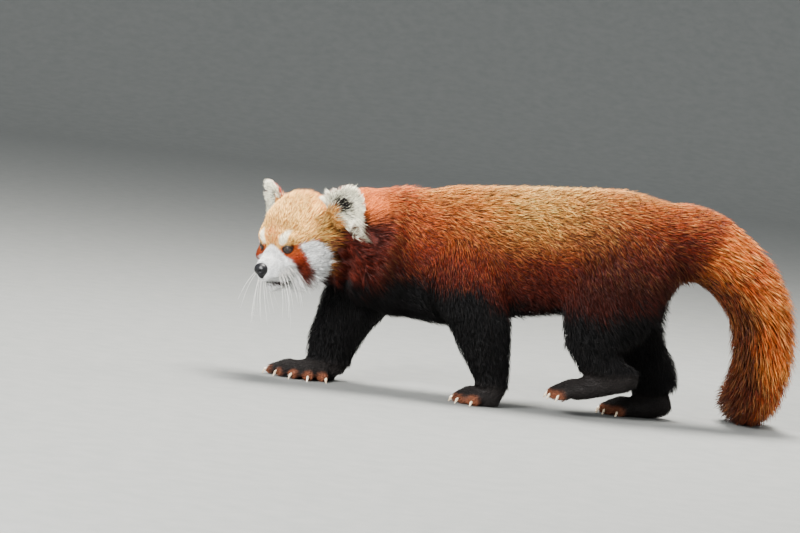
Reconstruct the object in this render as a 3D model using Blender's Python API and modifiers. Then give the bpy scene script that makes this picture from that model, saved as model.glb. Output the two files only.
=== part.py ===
"""A red panda in mid stride, life size, as a still museum model. It faces -X and stands on z = 0.

Each mass of the body is a tube or an ellipsoid at its real size. The masses are fused into one skin,
which reaches out to the tips of the coat, and thin cuts part that skin into the named parts.
"""

import math
import random

import bmesh
import bpy
import numpy as np
from mathutils import Matrix, Vector
from mathutils.bvhtree import BVHTree

# Gaps and mesh fineness, in metres
GAP = 0.0003
SHARPEST_GROWTH = 2.5
BODY_VOXEL = 0.0022
SKIN_SMOOTHING = 6
SKIN_TRIANGLES = 150000
RING_POINTS = 28
REGION_POINTS = 15

# The head: where the point between the eyes is, and how the head is turned
EYE_MIDPOINT = Vector((-0.3356, -0.058, 0.1874))
HEAD_YAW = math.radians(48.2)
HEAD_PITCH = math.radians(19.5)
HEAD_TILT = math.radians(3.2)
EYE_RADIUS = 0.0078
EYE_SPREAD = 0.0225
EYE_DEPTH = 0.0030
EYE_TURN = math.radians(30)
LID_THICKNESS = 0.0014
LID_FORWARD = 0.0004
EYE_SLIT = (0.006, 0.0073, 0.0054)
NOSE_TIP = Vector((-0.0415, 0.0, -0.0205))
# The pad of the nose: where each of its two balls is from the tip, and its half sizes
NOSE_PAD = (
    ((0.0075, 0.0, 0.0), (0.0080, 0.0098, 0.0072)),
    ((0.0080, 0.0, -0.0050), (0.0068, 0.0050, 0.0060)),
)
NOSE_VOXEL = 0.0007
NOSE_TRIANGLES = 180
# One nostril: steps from the tip of the nose, mirrored for the other, and half width and height
NOSTRIL = (
    (-0.0015, 0.0040, -0.0006, 0.0017, 0.0014),
    (0.0025, 0.0048, -0.0002, 0.0016, 0.0013),
    (0.0047, 0.0074, -0.0012, 0.0010, 0.0008),
)
NOSE_GROOVE = ((-0.0002, 0.0, -0.0062), (0.0016, 0.0007, 0.0052))

# Masses of the head in its own axes, -X forward and +Z up from the point between the eyes
HEAD_MASSES = {
    "cranium": ((0.056, 0.0, 0.0145), (0.056, 0.050, 0.0485)),
    "brow": ((0.018, 0.0, 0.010), (0.026, 0.032, 0.024)),
    "throat": ((0.046, 0.0, -0.034), (0.042, 0.036, 0.028)),
    "chin": ((-0.009, 0.0, -0.0440), (0.019, 0.014, 0.0115)),
}
# The same for the masses that both sides have: the middle of the right one, and half sizes
PAIRED_MASSES = {
    "cheek": ((0.042, 0.031, -0.021), (0.037, 0.029, 0.032)),
    "temple": ((0.044, 0.030, 0.000), (0.038, 0.026, 0.034)),
    "brow_ridge": ((0.011, 0.021, 0.0125), (0.015, 0.016, 0.010)),
    "cheekbone": ((0.012, 0.028, -0.014), (0.020, 0.018, 0.014)),
    "lip": ((-0.014, 0.0105, -0.031), (0.020, 0.0100, 0.0085)),
}
# The muzzle: x, y, z of the middle, half width, half height
MUZZLE = [
    (0.030, 0.0, -0.020, 0.036, 0.034),
    (0.012, 0.0, -0.019, 0.031, 0.027),
    (-0.006, 0.0, -0.021, 0.024, 0.022),
    (-0.020, 0.0, -0.024, 0.0185, 0.0185),
    (-0.032, 0.0, -0.025, 0.0145, 0.0150),
    (-0.038, 0.0, -0.025, 0.0080, 0.0090),
]

# Trunk: x, y, z of the middle, half width, half height
TRUNK = [
    (-0.250, 0.000, 0.196, 0.020, 0.024),
    (-0.236, 0.000, 0.196, 0.052, 0.064),
    (-0.200, 0.000, 0.199, 0.064, 0.082),
    (-0.150, 0.000, 0.200, 0.071, 0.095),
    (-0.090, 0.000, 0.203, 0.074, 0.099),
    (-0.030, 0.000, 0.214, 0.074, 0.094),
    (0.035, 0.000, 0.223, 0.075, 0.091),
    (0.100, 0.000, 0.231, 0.077, 0.089),
    (0.155, 0.000, 0.237, 0.074, 0.086),
    (0.198, 0.000, 0.243, 0.062, 0.074),
    (0.228, 0.000, 0.247, 0.042, 0.052),
    (0.238, 0.000, 0.248, 0.016, 0.020),
]
NECK = [
    (-0.180, 0.000, 0.211, 0.060, 0.074),
    (-0.225, -0.003, 0.211, 0.061, 0.072),
    (-0.256, -0.008, 0.203, 0.049, 0.063),
    (-0.282, -0.016, 0.198, 0.038, 0.052),
]
# The tail: x, y, z of the middle and its radius out to the tips of the coat
TAIL = [
    (0.176, 0.000, 0.262, 0.040),
    (0.205, 0.000, 0.263, 0.051),
    (0.233, 0.001, 0.260, 0.055),
    (0.263, 0.003, 0.249, 0.056),
    (0.294, 0.006, 0.231, 0.056),
    (0.320, 0.010, 0.208, 0.055),
    (0.340, 0.015, 0.180, 0.053),
    (0.351, 0.021, 0.150, 0.051),
    (0.357, 0.028, 0.121, 0.050),
    (0.358, 0.040, 0.092, 0.048),
    (0.356, 0.060, 0.065, 0.046),
    (0.354, 0.088, 0.047, 0.044),
    (0.354, 0.116, 0.039, 0.041),
    (0.356, 0.140, 0.033, 0.032),
    (0.358, 0.156, 0.028, 0.016),
]
# Where along its stations the tail starts to be a part of its own, and where that is parted
TAIL_CUTS = (2.6, 5.4, 8.0, 10.6)

# Legs: x, y, z of the middle, half width across, half depth fore and aft
LEGS = {
    "foreleg_left": [
        (-0.100, -0.030, 0.232, 0.022, 0.030),
        (-0.085, -0.042, 0.196, 0.034, 0.050),
        (-0.062, -0.050, 0.156, 0.035, 0.051),
        (-0.044, -0.052, 0.122, 0.032, 0.045),
        (-0.035, -0.051, 0.096, 0.029, 0.040),
        (-0.026, -0.049, 0.070, 0.026, 0.033),
        (-0.019, -0.047, 0.048, 0.023, 0.027),
        (-0.016, -0.045, 0.030, 0.021, 0.022),
        (-0.020, -0.044, 0.014, 0.020, 0.018),
    ],
    "foreleg_right": [
        (-0.160, 0.030, 0.232, 0.022, 0.030),
        (-0.180, 0.042, 0.196, 0.034, 0.050),
        (-0.200, 0.048, 0.154, 0.035, 0.051),
        (-0.221, 0.050, 0.118, 0.033, 0.048),
        (-0.233, 0.050, 0.088, 0.030, 0.041),
        (-0.243, 0.050, 0.060, 0.027, 0.038),
        (-0.247, 0.050, 0.036, 0.024, 0.033),
        (-0.250, 0.050, 0.016, 0.022, 0.026),
    ],
    "hindleg_left": [
        (0.168, -0.033, 0.262, 0.022, 0.034),
        (0.156, -0.046, 0.222, 0.034, 0.058),
        (0.133, -0.050, 0.172, 0.036, 0.066),
        (0.121, -0.054, 0.126, 0.031, 0.054),
        (0.126, -0.054, 0.092, 0.026, 0.036),
        (0.146, -0.053, 0.070, 0.022, 0.026),
        (0.170, -0.051, 0.060, 0.019, 0.020),
    ],
    "hindleg_right": [
        (0.168, 0.033, 0.262, 0.022, 0.034),
        (0.160, 0.046, 0.222, 0.034, 0.058),
        (0.158, 0.050, 0.172, 0.036, 0.058),
        (0.170, 0.054, 0.130, 0.031, 0.046),
        (0.190, 0.053, 0.094, 0.027, 0.038),
        (0.210, 0.051, 0.062, 0.026, 0.036),
        (0.218, 0.049, 0.038, 0.022, 0.031),
    ],
}

# Feet: the sole as a tube from heel to knuckles, then the toe tips from the outer toe to the inner one
FEET = {
    "forepaw_left": {
        "sole": [
            (-0.002, -0.046, 0.014, 0.014, 0.014),
            (-0.014, -0.045, 0.015, 0.021, 0.017),
            (-0.030, -0.042, 0.014, 0.025, 0.016),
            (-0.042, -0.038, 0.012, 0.023, 0.013),
        ],
        "fan": (-0.016, -0.044, 0.017),
        "tips": [
            (-0.036, -0.064, 0.0088),
            (-0.053, -0.054, 0.0092),
            (-0.061, -0.038, 0.0092),
            (-0.059, -0.021, 0.0090),
            (-0.044, -0.012, 0.0085),
        ],
    },
    "forepaw_right": {
        "sole": [
            (-0.234, 0.052, 0.0135, 0.014, 0.014),
            (-0.248, 0.050, 0.0150, 0.023, 0.017),
            (-0.268, 0.045, 0.0150, 0.028, 0.017),
            (-0.288, 0.038, 0.0130, 0.026, 0.013),
        ],
        "fan": (-0.262, 0.047, 0.018),
        "tips": [
            (-0.325, 0.046, 0.0092),
            (-0.310, 0.026, 0.0094),
            (-0.291, 0.013, 0.0092),
            (-0.270, 0.009, 0.0092),
            (-0.250, 0.018, 0.0090),
        ],
    },
    "hindpaw_left": {
        "sole": [
            (0.184, -0.050, 0.066, 0.010, 0.012),
            (0.168, -0.050, 0.063, 0.019, 0.019),
            (0.140, -0.049, 0.052, 0.021, 0.017),
            (0.112, -0.048, 0.043, 0.024, 0.016),
            (0.094, -0.047, 0.036, 0.023, 0.013),
        ],
        "fan": (0.130, -0.048, 0.047),
        "tips": [
            (0.084, -0.066, 0.0310),
            (0.073, -0.056, 0.0310),
            (0.069, -0.043, 0.0310),
            (0.071, -0.030, 0.0315),
            (0.082, -0.021, 0.0330),
        ],
    },
    "hindpaw_right": {
        "sole": [
            (0.238, 0.049, 0.034, 0.012, 0.016),
            (0.224, 0.049, 0.027, 0.020, 0.023),
            (0.198, 0.047, 0.017, 0.023, 0.018),
            (0.178, 0.045, 0.0125, 0.026, 0.014),
            (0.168, 0.044, 0.0115, 0.024, 0.012),
        ],
        "fan": (0.206, 0.046, 0.020),
        "tips": [
            (0.156, 0.066, 0.0088),
            (0.149, 0.054, 0.0090),
            (0.149, 0.041, 0.0090),
            (0.156, 0.029, 0.0090),
            (0.172, 0.021, 0.0090),
        ],
    },
}
SOLE_CUT = 0.0020
TOE_RADIUS = 0.0098
KNUCKLE_RISE = 0.006
CLAW_LENGTH = 0.0085
CLAW_RADIUS = 0.0021
CLAW_TIP = 0.0006
# Along a toe from its end: how far ahead and above the root, middle and tip of the claw are
CLAW_BENDS = ((0.0045, 0.0022), (0.0098, 0.0006), (0.0075 + CLAW_LENGTH * 0.60, -CLAW_LENGTH * 0.62))

# The ears: middle of the left one, -1, and the right one, 1, in the head's axes, and their size
EAR_CENTRE = {-1: (0.068, -0.0765, 0.042), 1: (0.0720, 0.0720, 0.0420)}
EAR_HALF_WIDTH = 0.032
EAR_HALF_HEIGHT = 0.031
EAR_CUP = 0.012
EAR_WALL = 0.0050
EAR_RINGS = 3
EAR_POINTS = 16
# The narrowing of the ear toward its tip, and its root: middle and half sizes in the ear's axes
EAR_NARROWING = 0.30
EAR_ROOT = ((0.0, -0.020, -0.021), (0.022, 0.020, 0.011))
# For the left ear, -1, and the right one: the way its cup faces, and the way it stands up
EAR_TURN = {
    -1: ((-0.78, -0.62, 0.10), (0.10, -0.64, 0.76)),
    1: ((-0.88, 0.44, 0.10), (0.10, 0.64, 0.76)),
}
# The line of the mouth: how far to the side it is looked for, from which point along the muzzle
MOUTH_LINE = [
    (-1.0, 0.004, -0.036),
    (-0.9, -0.006, -0.0365),
    (-0.6, -0.014, -0.0370),
    (-0.3, -0.018, -0.0365),
    (0.0, -0.020, -0.0355),
    (0.3, -0.018, -0.0365),
    (0.6, -0.014, -0.0370),
    (0.9, -0.006, -0.0365),
    (1.0, 0.004, -0.036),
]
MOUTH_GROOVE = 0.0010

# Where the body is parted: a point on each cut, the way the part lies from it, half sizes of the block
HEAD_CUT = ((-0.210, -0.02, 0.215), (-0.88, -0.42, 0.19), (0.15, 0.20, 0.20))
CHEST_CUT = ((-0.285, -0.04, 0.127), (0.27, 0.36, -0.90), (0.15, 0.30, 0.30))
NECK_CUT = ((-0.148, 0.0, 0.22), (-1.0, 0.0, 0.12), (0.10, 0.16, 0.12))
PAW_CUTS = {
    "forepaw_left": ((-0.020, -0.045, 0.037), (0.0, 0.0, -1.0), (0.03, 0.05, 0.07)),
    "forepaw_right": ((-0.262, 0.045, 0.034), (0.0, 0.0, -1.0), (0.03, 0.06, 0.09)),
    "hindpaw_left": ((0.140, -0.050, 0.072), (0.0, 0.0, -1.0), (0.04, 0.05, 0.10)),
    "hindpaw_right": ((0.200, 0.046, 0.042), (0.0, 0.0, -1.0), (0.03, 0.045, 0.08)),
}
# For each leg: where along its path the knee or elbow is, and the names of the two parts
LEG_NAMES = {
    "foreleg_left": (3.6, "foreleg_left_upper", "foreleg_left_lower"),
    "foreleg_right": (3.6, "foreleg_right_upper", "foreleg_right_lower"),
    "hindleg_left": (3.4, "thigh_left", "shank_left"),
    "hindleg_right": (3.4, "thigh_right", "shank_right"),
}
KNEE_OVERLAP = 0.3
# Locks of the tail: station of the first tier and the last, tiers between stations, locks round a tier
TAIL_TIERS = (2.75, 12.9)
TIER_STEP = 1.22
TIER_LOCKS = 9
TAIL_LOCK = {"length": 2.40, "width": 0.0350, "thickness": 0.0085}
TAIL_SIDES = 10
CORE_SHARE = 0.62
# The core narrows over this many stations from this one, so that the rump keeps its full size
CORE_NARROWS = (2.9, 1.9)
# A lock of the tail: share of its length, and how far out it lies as a share of the radius
TAIL_LOCK_RISE = ((0.0, 0.40), (0.34, 0.74), (0.68, 0.93))
# Section of a lock at its root, belly and neck: share of its full width and of its thickness
LOCK_SHARES = ((0.70, 0.80), (1.00, 1.00), (0.74, 0.70))
LOCK_STEPS = (0.34, 0.68, 1.0)
LOCK_ROOT = 0.0045
LOCK_LIFT = 0.0045
LOCK_FLATNESS = 0.30
# Tufts of the cheeks and neck: rows of where they start, as turns about the middle of the head or neck
CHEEK_ROWS = (
    {"back": 0.030, "from": -64, "to": 26, "count": 6, "length": 0.042, "width": 0.0170},
    {"back": 0.052, "from": -74, "to": 12, "count": 6, "length": 0.044, "width": 0.0180},
)
CHEEK_LIE = (0.80, 0.10, -0.60)
CHEEK_MIDDLE = -0.010
CHEEK_REACH = 0.075
EAR_TUFTS = (
    {"at": 215, "length": 0.034, "width": 0.012},
    {"at": 240, "length": 0.042, "width": 0.013},
    {"at": 265, "length": 0.046, "width": 0.014},
    {"at": 292, "length": 0.040, "width": 0.013},
    {"at": 318, "length": 0.030, "width": 0.012},
)
# The way an ear's tufts hang, in the head's axes, and how far they sway out at each step
EAR_TUFT_DROP = (0.55, 0.0, -0.84)
EAR_TUFT_SWAY = (0.55, 0.28, 0.05)
EAR_TUFT_FLATNESS = 0.36
FRINGE_LIE = (0.45, 0.0, -0.9)
FRINGE_LOCK = (0.032, 0.018)
FRINGES = {
    "thigh_left": {"from": (0.196, -0.052, 0.215), "to": (0.172, -0.056, 0.120), "count": 5},
    "thigh_right": {"from": (0.212, 0.052, 0.220), "to": (0.214, 0.054, 0.125), "count": 6},
}
LOCK_SEED = 11
# Each node with the one whose locks or hem lie over it
LIES_OVER = (
    ("tail_1", "torso"),
    ("tail_2", "tail_1"),
    ("tail_3", "tail_2"),
    ("tail_4", "tail_3"),
    ("foreleg_left_upper", "torso"),
    ("foreleg_right_upper", "torso"),
    ("foreleg_right_upper", "neck"),
    ("thigh_left", "torso"),
    ("thigh_right", "torso"),
    ("shank_left", "thigh_left"),
    ("shank_right", "thigh_right"),
    ("neck", "head"),
)
# Share of the triangles kept where locks were fused, as a union splits flat faces into many
LOCKS_KEPT = 0.52

# Triangles kept in each stretch of skin
HEAD_TRIANGLES = 1300
PAW_TRIANGLES = 250
EAR_TRIANGLES = 400
BODY_TRIANGLES = 2400

COAT = {
    "russet": (0.46, 0.14, 0.035),
    "black": (0.016, 0.012, 0.011),
    "tan": (0.66, 0.38, 0.17),
    "white": (0.84, 0.81, 0.74),
    "tail": (0.52, 0.20, 0.06),
    "horn": (0.72, 0.62, 0.50),
    "eye": (0.02, 0.012, 0.008),
    "nose": (0.012, 0.011, 0.012),
}

FINISHES = (
    ("claw", "horn"),
    ("eye", "eye"),
    ("nose", "nose"),
    ("ear", "white"),
    ("head", "tan"),
    ("tail", "tail"),
    ("fore", "black"),
    ("hind", "black"),
    ("thigh", "black"),
    ("shank", "black"),
)


def clear_scene():
    for obj in list(bpy.data.objects):
        bpy.data.objects.remove(obj)


def collection(name, hidden=False):
    made = bpy.data.collections.new(name)
    bpy.context.scene.collection.children.link(made)
    made.hide_render = hidden
    return made


def finish_of(name, roughness=0.8):
    material = bpy.data.materials.new(name)
    material.use_nodes = True
    shader = material.node_tree.nodes["Principled BSDF"]
    shader.inputs["Base Color"].default_value = (*COAT[name], 1.0)
    shader.inputs["Roughness"].default_value = roughness
    return material


def object_from(bm, name, where):
    mesh = bpy.data.meshes.new(name)
    bm.normal_update()
    bm.to_mesh(mesh)
    bm.free()
    obj = bpy.data.objects.new(name, mesh)
    where.objects.link(obj)
    return obj


def smooth_path(stations, steps):
    """Catmull-Rom curve through rows of numbers: `steps` rows for each span."""
    rows = np.array(stations, float)
    ends = np.vstack([2 * rows[0] - rows[1], rows, 2 * rows[-1] - rows[-2]])
    made = []
    for i in range(len(rows) - 1):
        a, b, c, d = ends[i : i + 4]
        bend = 2 * a - 5 * b + 4 * c - d
        twist = 3 * b - a - 3 * c + d
        for t in np.arange(steps) / steps:
            made.append(0.5 * (2 * b + (c - a) * t + bend * t**2 + twist * t**3))
    made.append(rows[-1])
    return np.array(made)


def frames_along(points):
    """Tangent, side and normal at each point, turned along the path without twist from side = +Y."""
    tangents = np.gradient(points, axis=0)
    tangents /= np.linalg.norm(tangents, axis=1)[:, None]
    side = np.array((0.0, 1.0, 0.0))
    frames = []
    for tangent in tangents:
        side = side - tangent * (side @ tangent)
        side /= np.linalg.norm(side)
        frames.append((tangent, side, np.cross(tangent, side)))
    return frames


def tube(name, stations, where, steps=5, points=RING_POINTS):
    """A closed tube of elliptical section. Each station is x, y, z, half width across, half depth."""
    rows = smooth_path(stations, steps)
    path, radii = rows[:, :3], np.maximum(rows[:, 3:5], 0.0004)
    bm = bmesh.new()
    rings = []
    for point, radius, (_, side, normal) in zip(path, radii, frames_along(path)):
        ring = []
        for k in range(points):
            turn = 2 * math.pi * k / points
            out = side * radius[0] * math.cos(turn) + normal * radius[1] * math.sin(turn)
            ring.append(bm.verts.new(point + out))
        rings.append(ring)
    for low, high in zip(rings, rings[1:]):
        for k in range(points):
            n = (k + 1) % points
            bm.faces.new((low[k], low[n], high[n], high[k]))
    for ring, row in ((rings[0], path[0]), (rings[-1], path[-1])):
        middle = bm.verts.new(row)
        for k in range(points):
            bm.faces.new((ring[k], ring[(k + 1) % points], middle))
    bmesh.ops.recalc_face_normals(bm, faces=bm.faces)
    return object_from(bm, name, where)


def ball(name, centre, radii, where, turn=None, segments=24):
    bm = bmesh.new()
    bmesh.ops.create_uvsphere(bm, u_segments=segments, v_segments=segments // 2, radius=1.0)
    place = Matrix.Translation(centre) @ (turn.to_4x4() if turn else Matrix.Identity(4))
    bm.transform(place @ Matrix.Diagonal((*radii, 1.0)))
    return object_from(bm, name, where)


def joined(objects, name, where):
    """The meshes of several objects in one object; the objects are removed."""
    bm = bmesh.new()
    for obj in objects:
        mesh = evaluated_mesh(obj)
        mesh.transform(obj.matrix_world)
        bm.from_mesh(mesh)
        bpy.data.meshes.remove(mesh)
        bpy.data.objects.remove(obj)
    return object_from(bm, name, where)


def evaluated_mesh(obj):
    bpy.context.view_layer.update()
    graph = bpy.context.evaluated_depsgraph_get()
    return bpy.data.meshes.new_from_object(obj.evaluated_get(graph))


def applied(obj):
    """Applies the object's modifiers to its mesh."""
    mesh = evaluated_mesh(obj)
    obj.modifiers.clear()
    obj.data = mesh
    return obj


def fused(objects, name, voxel, triangles, where):
    """One skin over overlapping masses, smoothed and thinned to a number of triangles."""
    skin = joined(objects, name, where)
    remesh = skin.modifiers.new("fuse", "REMESH")
    remesh.mode = "VOXEL"
    remesh.voxel_size = voxel
    soften = skin.modifiers.new("soften", "SMOOTH")
    soften.iterations = SKIN_SMOOTHING
    applied(skin)
    return thinned(skin, triangles)


def triangles_in(obj):
    return sum(len(p.vertices) - 2 for p in obj.data.polygons)


def thinned(obj, triangles):
    thin = obj.modifiers.new("thin", "DECIMATE")
    thin.ratio = min(1.0, triangles / triangles_in(obj))
    thin.use_collapse_triangulate = True
    return applied(obj)


def boolean(obj, other, operation):
    cut = obj.modifiers.new(operation.lower(), "BOOLEAN")
    cut.operation = operation
    cut.object = other
    cut.solver = "MANIFOLD"
    return applied(obj)


def copy_of(obj, name, where):
    made = bpy.data.objects.new(name, obj.data.copy())
    where.objects.link(made)
    return made


def grown(obj, by, where):
    """A copy whose faces all stand `by` outside the object's, also at sharp edges."""
    made = copy_of(obj, obj.name + "_grown", where)
    bm = bmesh.new()
    bm.from_mesh(made.data)
    bmesh.ops.triangulate(bm, faces=bm.faces)
    bm.normal_update()
    shifts = []
    for vert in bm.verts:
        normals = np.array([face.normal for face in vert.link_faces])
        shift = np.linalg.lstsq(normals, np.full(len(normals), by), rcond=0.08)[0]
        length = np.linalg.norm(shift)
        shifts.append(Vector(shift * min(1.0, SHARPEST_GROWTH * by / max(length, 1e-9))))
    for vert, shift in zip(bm.verts, shifts):
        vert.co += shift
    bm.to_mesh(made.data)
    bm.free()
    return made


def largest_piece(obj):
    """Keeps the largest closed surface of the mesh."""
    bm = bmesh.new()
    bm.from_mesh(obj.data)
    bm.verts.ensure_lookup_table()
    left, pieces = set(bm.verts), []
    while left:
        stack, piece = [left.pop()], []
        while stack:
            vert = stack.pop()
            piece.append(vert)
            for edge in vert.link_edges:
                other = edge.other_vert(vert)
                if other in left:
                    left.remove(other)
                    stack.append(other)
        pieces.append(piece)
    keep = max(pieces, key=len)
    drop = [v for piece in pieces if piece is not keep for v in piece]
    bmesh.ops.delete(bm, geom=drop, context="VERTS")
    bm.to_mesh(obj.data)
    bm.free()
    return obj


def taken_out(body, region, name, where, tools):
    """Cuts the part of the body inside a region out as a node, with a thin gap to what is left."""
    part = copy_of(body, name, where)
    boolean(part, region, "INTERSECT")
    wider = grown(region, GAP, tools)
    boolean(body, wider, "DIFFERENCE")
    bpy.data.objects.remove(wider)
    bpy.data.objects.remove(region)
    return largest_piece(part)


def cut_clear(obj, other, tools):
    """Cuts a node clear of another one that lies over it, also where the grown copy folds on itself."""
    for by in (GAP * 0.8, 0.0):
        wider = grown(other, by, tools)
        boolean(obj, wider, "DIFFERENCE")
        bpy.data.objects.remove(wider)
    return largest_piece(obj)


def slab(name, centre, direction, size, where):
    """A block of the given half sizes whose one face is at the centre, reaching out along the direction."""
    bm = bmesh.new()
    bmesh.ops.create_cube(bm, size=2.0)
    half_x, half_y, half_z = size
    turn = Vector(direction).to_track_quat("X", "Z").to_matrix().to_4x4()
    out = Matrix.Translation((half_x, 0, 0)) @ Matrix.Diagonal((half_x, half_y, half_z, 1))
    bm.transform(Matrix.Translation(centre) @ turn @ out)
    bmesh.ops.subdivide_edges(bm, edges=bm.edges, cuts=1, use_grid_fill=True)
    return object_from(bm, name, where)


def head_matrix():
    turn = (
        Matrix.Rotation(HEAD_YAW, 4, "Z")
        @ Matrix.Rotation(-HEAD_PITCH, 4, "Y")
        @ Matrix.Rotation(-HEAD_TILT, 4, "X")
    )
    return Matrix.Translation(EYE_MIDPOINT) @ turn


def head_masses(where):
    """The masses of the head, set in place."""
    made = [ball(name, centre, radii, where) for name, (centre, radii) in HEAD_MASSES.items()]
    made.append(tube("muzzle", MUZZLE, where))
    for side in (-1, 1):
        for name, ((x, y, z), radii) in PAIRED_MASSES.items():
            made.append(ball(name, (x, side * y, z), radii, where))
    for obj in made:
        obj.data.transform(head_matrix())
    return made


def foot_masses(foot, where):
    sizes = FEET[foot]
    made = [tube("sole", sizes["sole"], where)]
    fan = Vector(sizes["fan"])
    for tip in sizes["tips"]:
        tip = Vector(tip)
        knuckle = fan.lerp(tip, 0.62) + Vector((0, 0, KNUCKLE_RISE))
        rows = [
            (*fan.lerp(tip, 0.30), TOE_RADIUS * 0.95, TOE_RADIUS),
            (*knuckle, TOE_RADIUS, TOE_RADIUS),
            (*tip, TOE_RADIUS * 0.92, TOE_RADIUS * 0.85),
        ]
        made.append(tube("toe", rows, where, steps=3))
        made.append(ball("toe_end", tip, (TOE_RADIUS * 0.95,) * 3, where, segments=16))
    return made


def lock(path, outward, width, thickness, where):
    """A flat lock that tapers from a sunk root to a point: rings at three points, then the tip."""
    bm = bmesh.new()
    rings = []
    for i, (broad, deep) in enumerate(LOCK_SHARES):
        ahead = (path[i + 1] - path[i]).normalized()
        up = (outward[i] - ahead * outward[i].dot(ahead)).normalized()
        across = ahead.cross(up)
        flat, tall = across * (width * broad / 2), up * (thickness * deep / 2)
        rings.append([bm.verts.new(path[i] + step) for step in (flat, tall, -flat, -tall)])
    for low, high in zip(rings, rings[1:]):
        for k in range(4):
            n = (k + 1) % 4
            bm.faces.new((low[k], low[n], high[n], high[k]))
    tip = bm.verts.new(path[3])
    for k in range(4):
        bm.faces.new((rings[-1][k], rings[-1][(k + 1) % 4], tip))
    bm.faces.new(rings[0])
    bmesh.ops.triangulate(bm, faces=bm.faces)
    bmesh.ops.recalc_face_normals(bm, faces=bm.faces)
    return object_from(bm, "lock", where)


def union_of(obj, pieces_in):
    """One union of a node with all the closed meshes of a collection, which are then removed."""
    join = obj.modifiers.new("union", "BOOLEAN")
    join.operation = "UNION"
    join.operand_type = "COLLECTION"
    join.collection = pieces_in
    join.solver = "MANIFOLD"
    applied(obj)
    for piece in list(pieces_in.objects):
        bpy.data.objects.remove(piece)
    bpy.data.collections.remove(pieces_in)
    return largest_piece(obj)


def tail_core():
    """The tail inside its locks: full size at the rump, a share of the way to the tips after it."""
    rows = []
    start, run = CORE_NARROWS
    for number, (x, y, z, radius) in enumerate(TAIL):
        share = 1 - (1 - CORE_SHARE) * min(max((number - start) / run, 0.0), 1.0)
        rows.append((x, y, z, radius * share, radius * share))
    return rows[:-1]


def tail_length(number, low, high, where):
    """The core of one length of the tail, with flat ends, a gap clear of the one before."""
    dense = smooth_path(tail_core(), 20)
    first, last = int(round(low * 20)), min(int(round(high * 20)), len(dense) - 1)
    picked = np.unique(np.linspace(first, last, int((last - first) / 14) + 2).astype(int))
    rows = dense[picked]
    ahead = dense[first + 1, :3] - dense[first, :3]
    rows[0, :3] += ahead / np.linalg.norm(ahead) * GAP
    return tube(f"tail_{number}", rows, where, steps=1, points=TAIL_SIDES)


def tail_frame(dense, frames, at):
    """Middle of the tail, its two cross directions and its radius, `at` stations along its path."""
    step = min(max(at * 10, 0.0), len(dense) - 1.001)
    low = int(step)
    share = step - low
    row = dense[low] * (1 - share) + dense[low + 1] * share
    side = Vector(frames[low][1]).lerp(Vector(frames[low + 1][1]), share)
    normal = Vector(frames[low][2]).lerp(Vector(frames[low + 1][2]), share)
    return Vector(row[:3]), side.normalized(), normal.normalized(), row[3]


def add_tail_locks(nodes, marks):
    """Tiers of flat locks along the tail, each lock rooted in its own node and lying over the next."""
    draw = random.Random(LOCK_SEED)
    dense = smooth_path(TAIL, 10)
    frames = frames_along(dense[:, :3])
    holders = [collection(f"locks_{number}", hidden=True) for number in range(len(nodes))]
    at = TAIL_TIERS[0]
    tier = 0
    while at < TAIL_TIERS[1]:
        owner = max(i for i in range(len(nodes)) if marks[i] <= at)
        for k in range(TIER_LOCKS):
            turn = 2 * math.pi * (k + 0.5 * (tier % 2) + draw.uniform(-0.12, 0.12)) / TIER_LOCKS
            reach = TAIL_LOCK["length"] * draw.uniform(0.88, 1.12)
            start = at + draw.uniform(-0.05, 0.12)
            width = TAIL_LOCK["width"] * draw.uniform(0.9, 1.1)
            path, outward = [], []
            for along, rise in (*TAIL_LOCK_RISE, (1.0, draw.uniform(0.96, 1.04))):
                middle, side, normal, radius = tail_frame(dense, frames, start + along * reach)
                out = side * math.cos(turn) + normal * math.sin(turn)
                path.append(middle + out * (radius * rise))
                outward.append(out)
            if (path[3] - path[2]).length < 0.004:
                path[3] = path[2] + (path[2] - path[1]) * 0.8
            lock(path, outward, width, TAIL_LOCK["thickness"], holders[owner])
        at += TIER_STEP
        tier += 1
    for node, holder in zip(nodes, holders):
        union_of(node, holder)
        thinned(node, triangles_in(node) * LOCKS_KEPT)


def tree_of(obj):
    return BVHTree.FromPolygons([v.co for v in obj.data.vertices], [p.vertices for p in obj.data.polygons])


def surface_lock(tree, start, lie, length, width, where, draw):
    """A lock laid along a surface from the point nearest `start`, its root sunk in."""
    place, normal, _, _ = tree.find_nearest(start)
    lie = (lie - normal * lie.dot(normal)).normalized()
    length *= draw.uniform(0.88, 1.12)
    path, outward = [place - normal * LOCK_ROOT], [normal]
    for along, height in zip(LOCK_STEPS, (LOCK_LIFT * 0.35, LOCK_LIFT, LOCK_LIFT * 1.5)):
        near, up, _, _ = tree.find_nearest(place + lie * (length * along))
        path.append(near.lerp(place + lie * (length * along), 0.35) + up * height)
        outward.append(up)
    return lock(path, outward, width * draw.uniform(0.9, 1.1), width * LOCK_FLATNESS, where)


def add_cheek_locks(head):
    """Rows of locks behind and below each cheek."""
    draw = random.Random(LOCK_SEED + 1)
    holder = collection("cheek_locks", hidden=True)
    tree = tree_of(head)
    place = head_matrix()
    for side in (-1, 1):
        for row in CHEEK_ROWS:
            for k in range(row["count"]):
                turn = math.radians(row["from"] + (row["to"] - row["from"]) * k / (row["count"] - 1))
                aside, above = CHEEK_REACH * math.cos(turn), CHEEK_REACH * math.sin(turn)
                out = Vector((row["back"], side * aside, CHEEK_MIDDLE + above))
                lie = place.to_3x3() @ Vector((CHEEK_LIE[0], side * CHEEK_LIE[1], CHEEK_LIE[2]))
                surface_lock(tree, place @ out, lie, row["length"], row["width"], holder, draw)
    union_of(head, holder)
    thinned(head, triangles_in(head) * LOCKS_KEPT)


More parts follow.
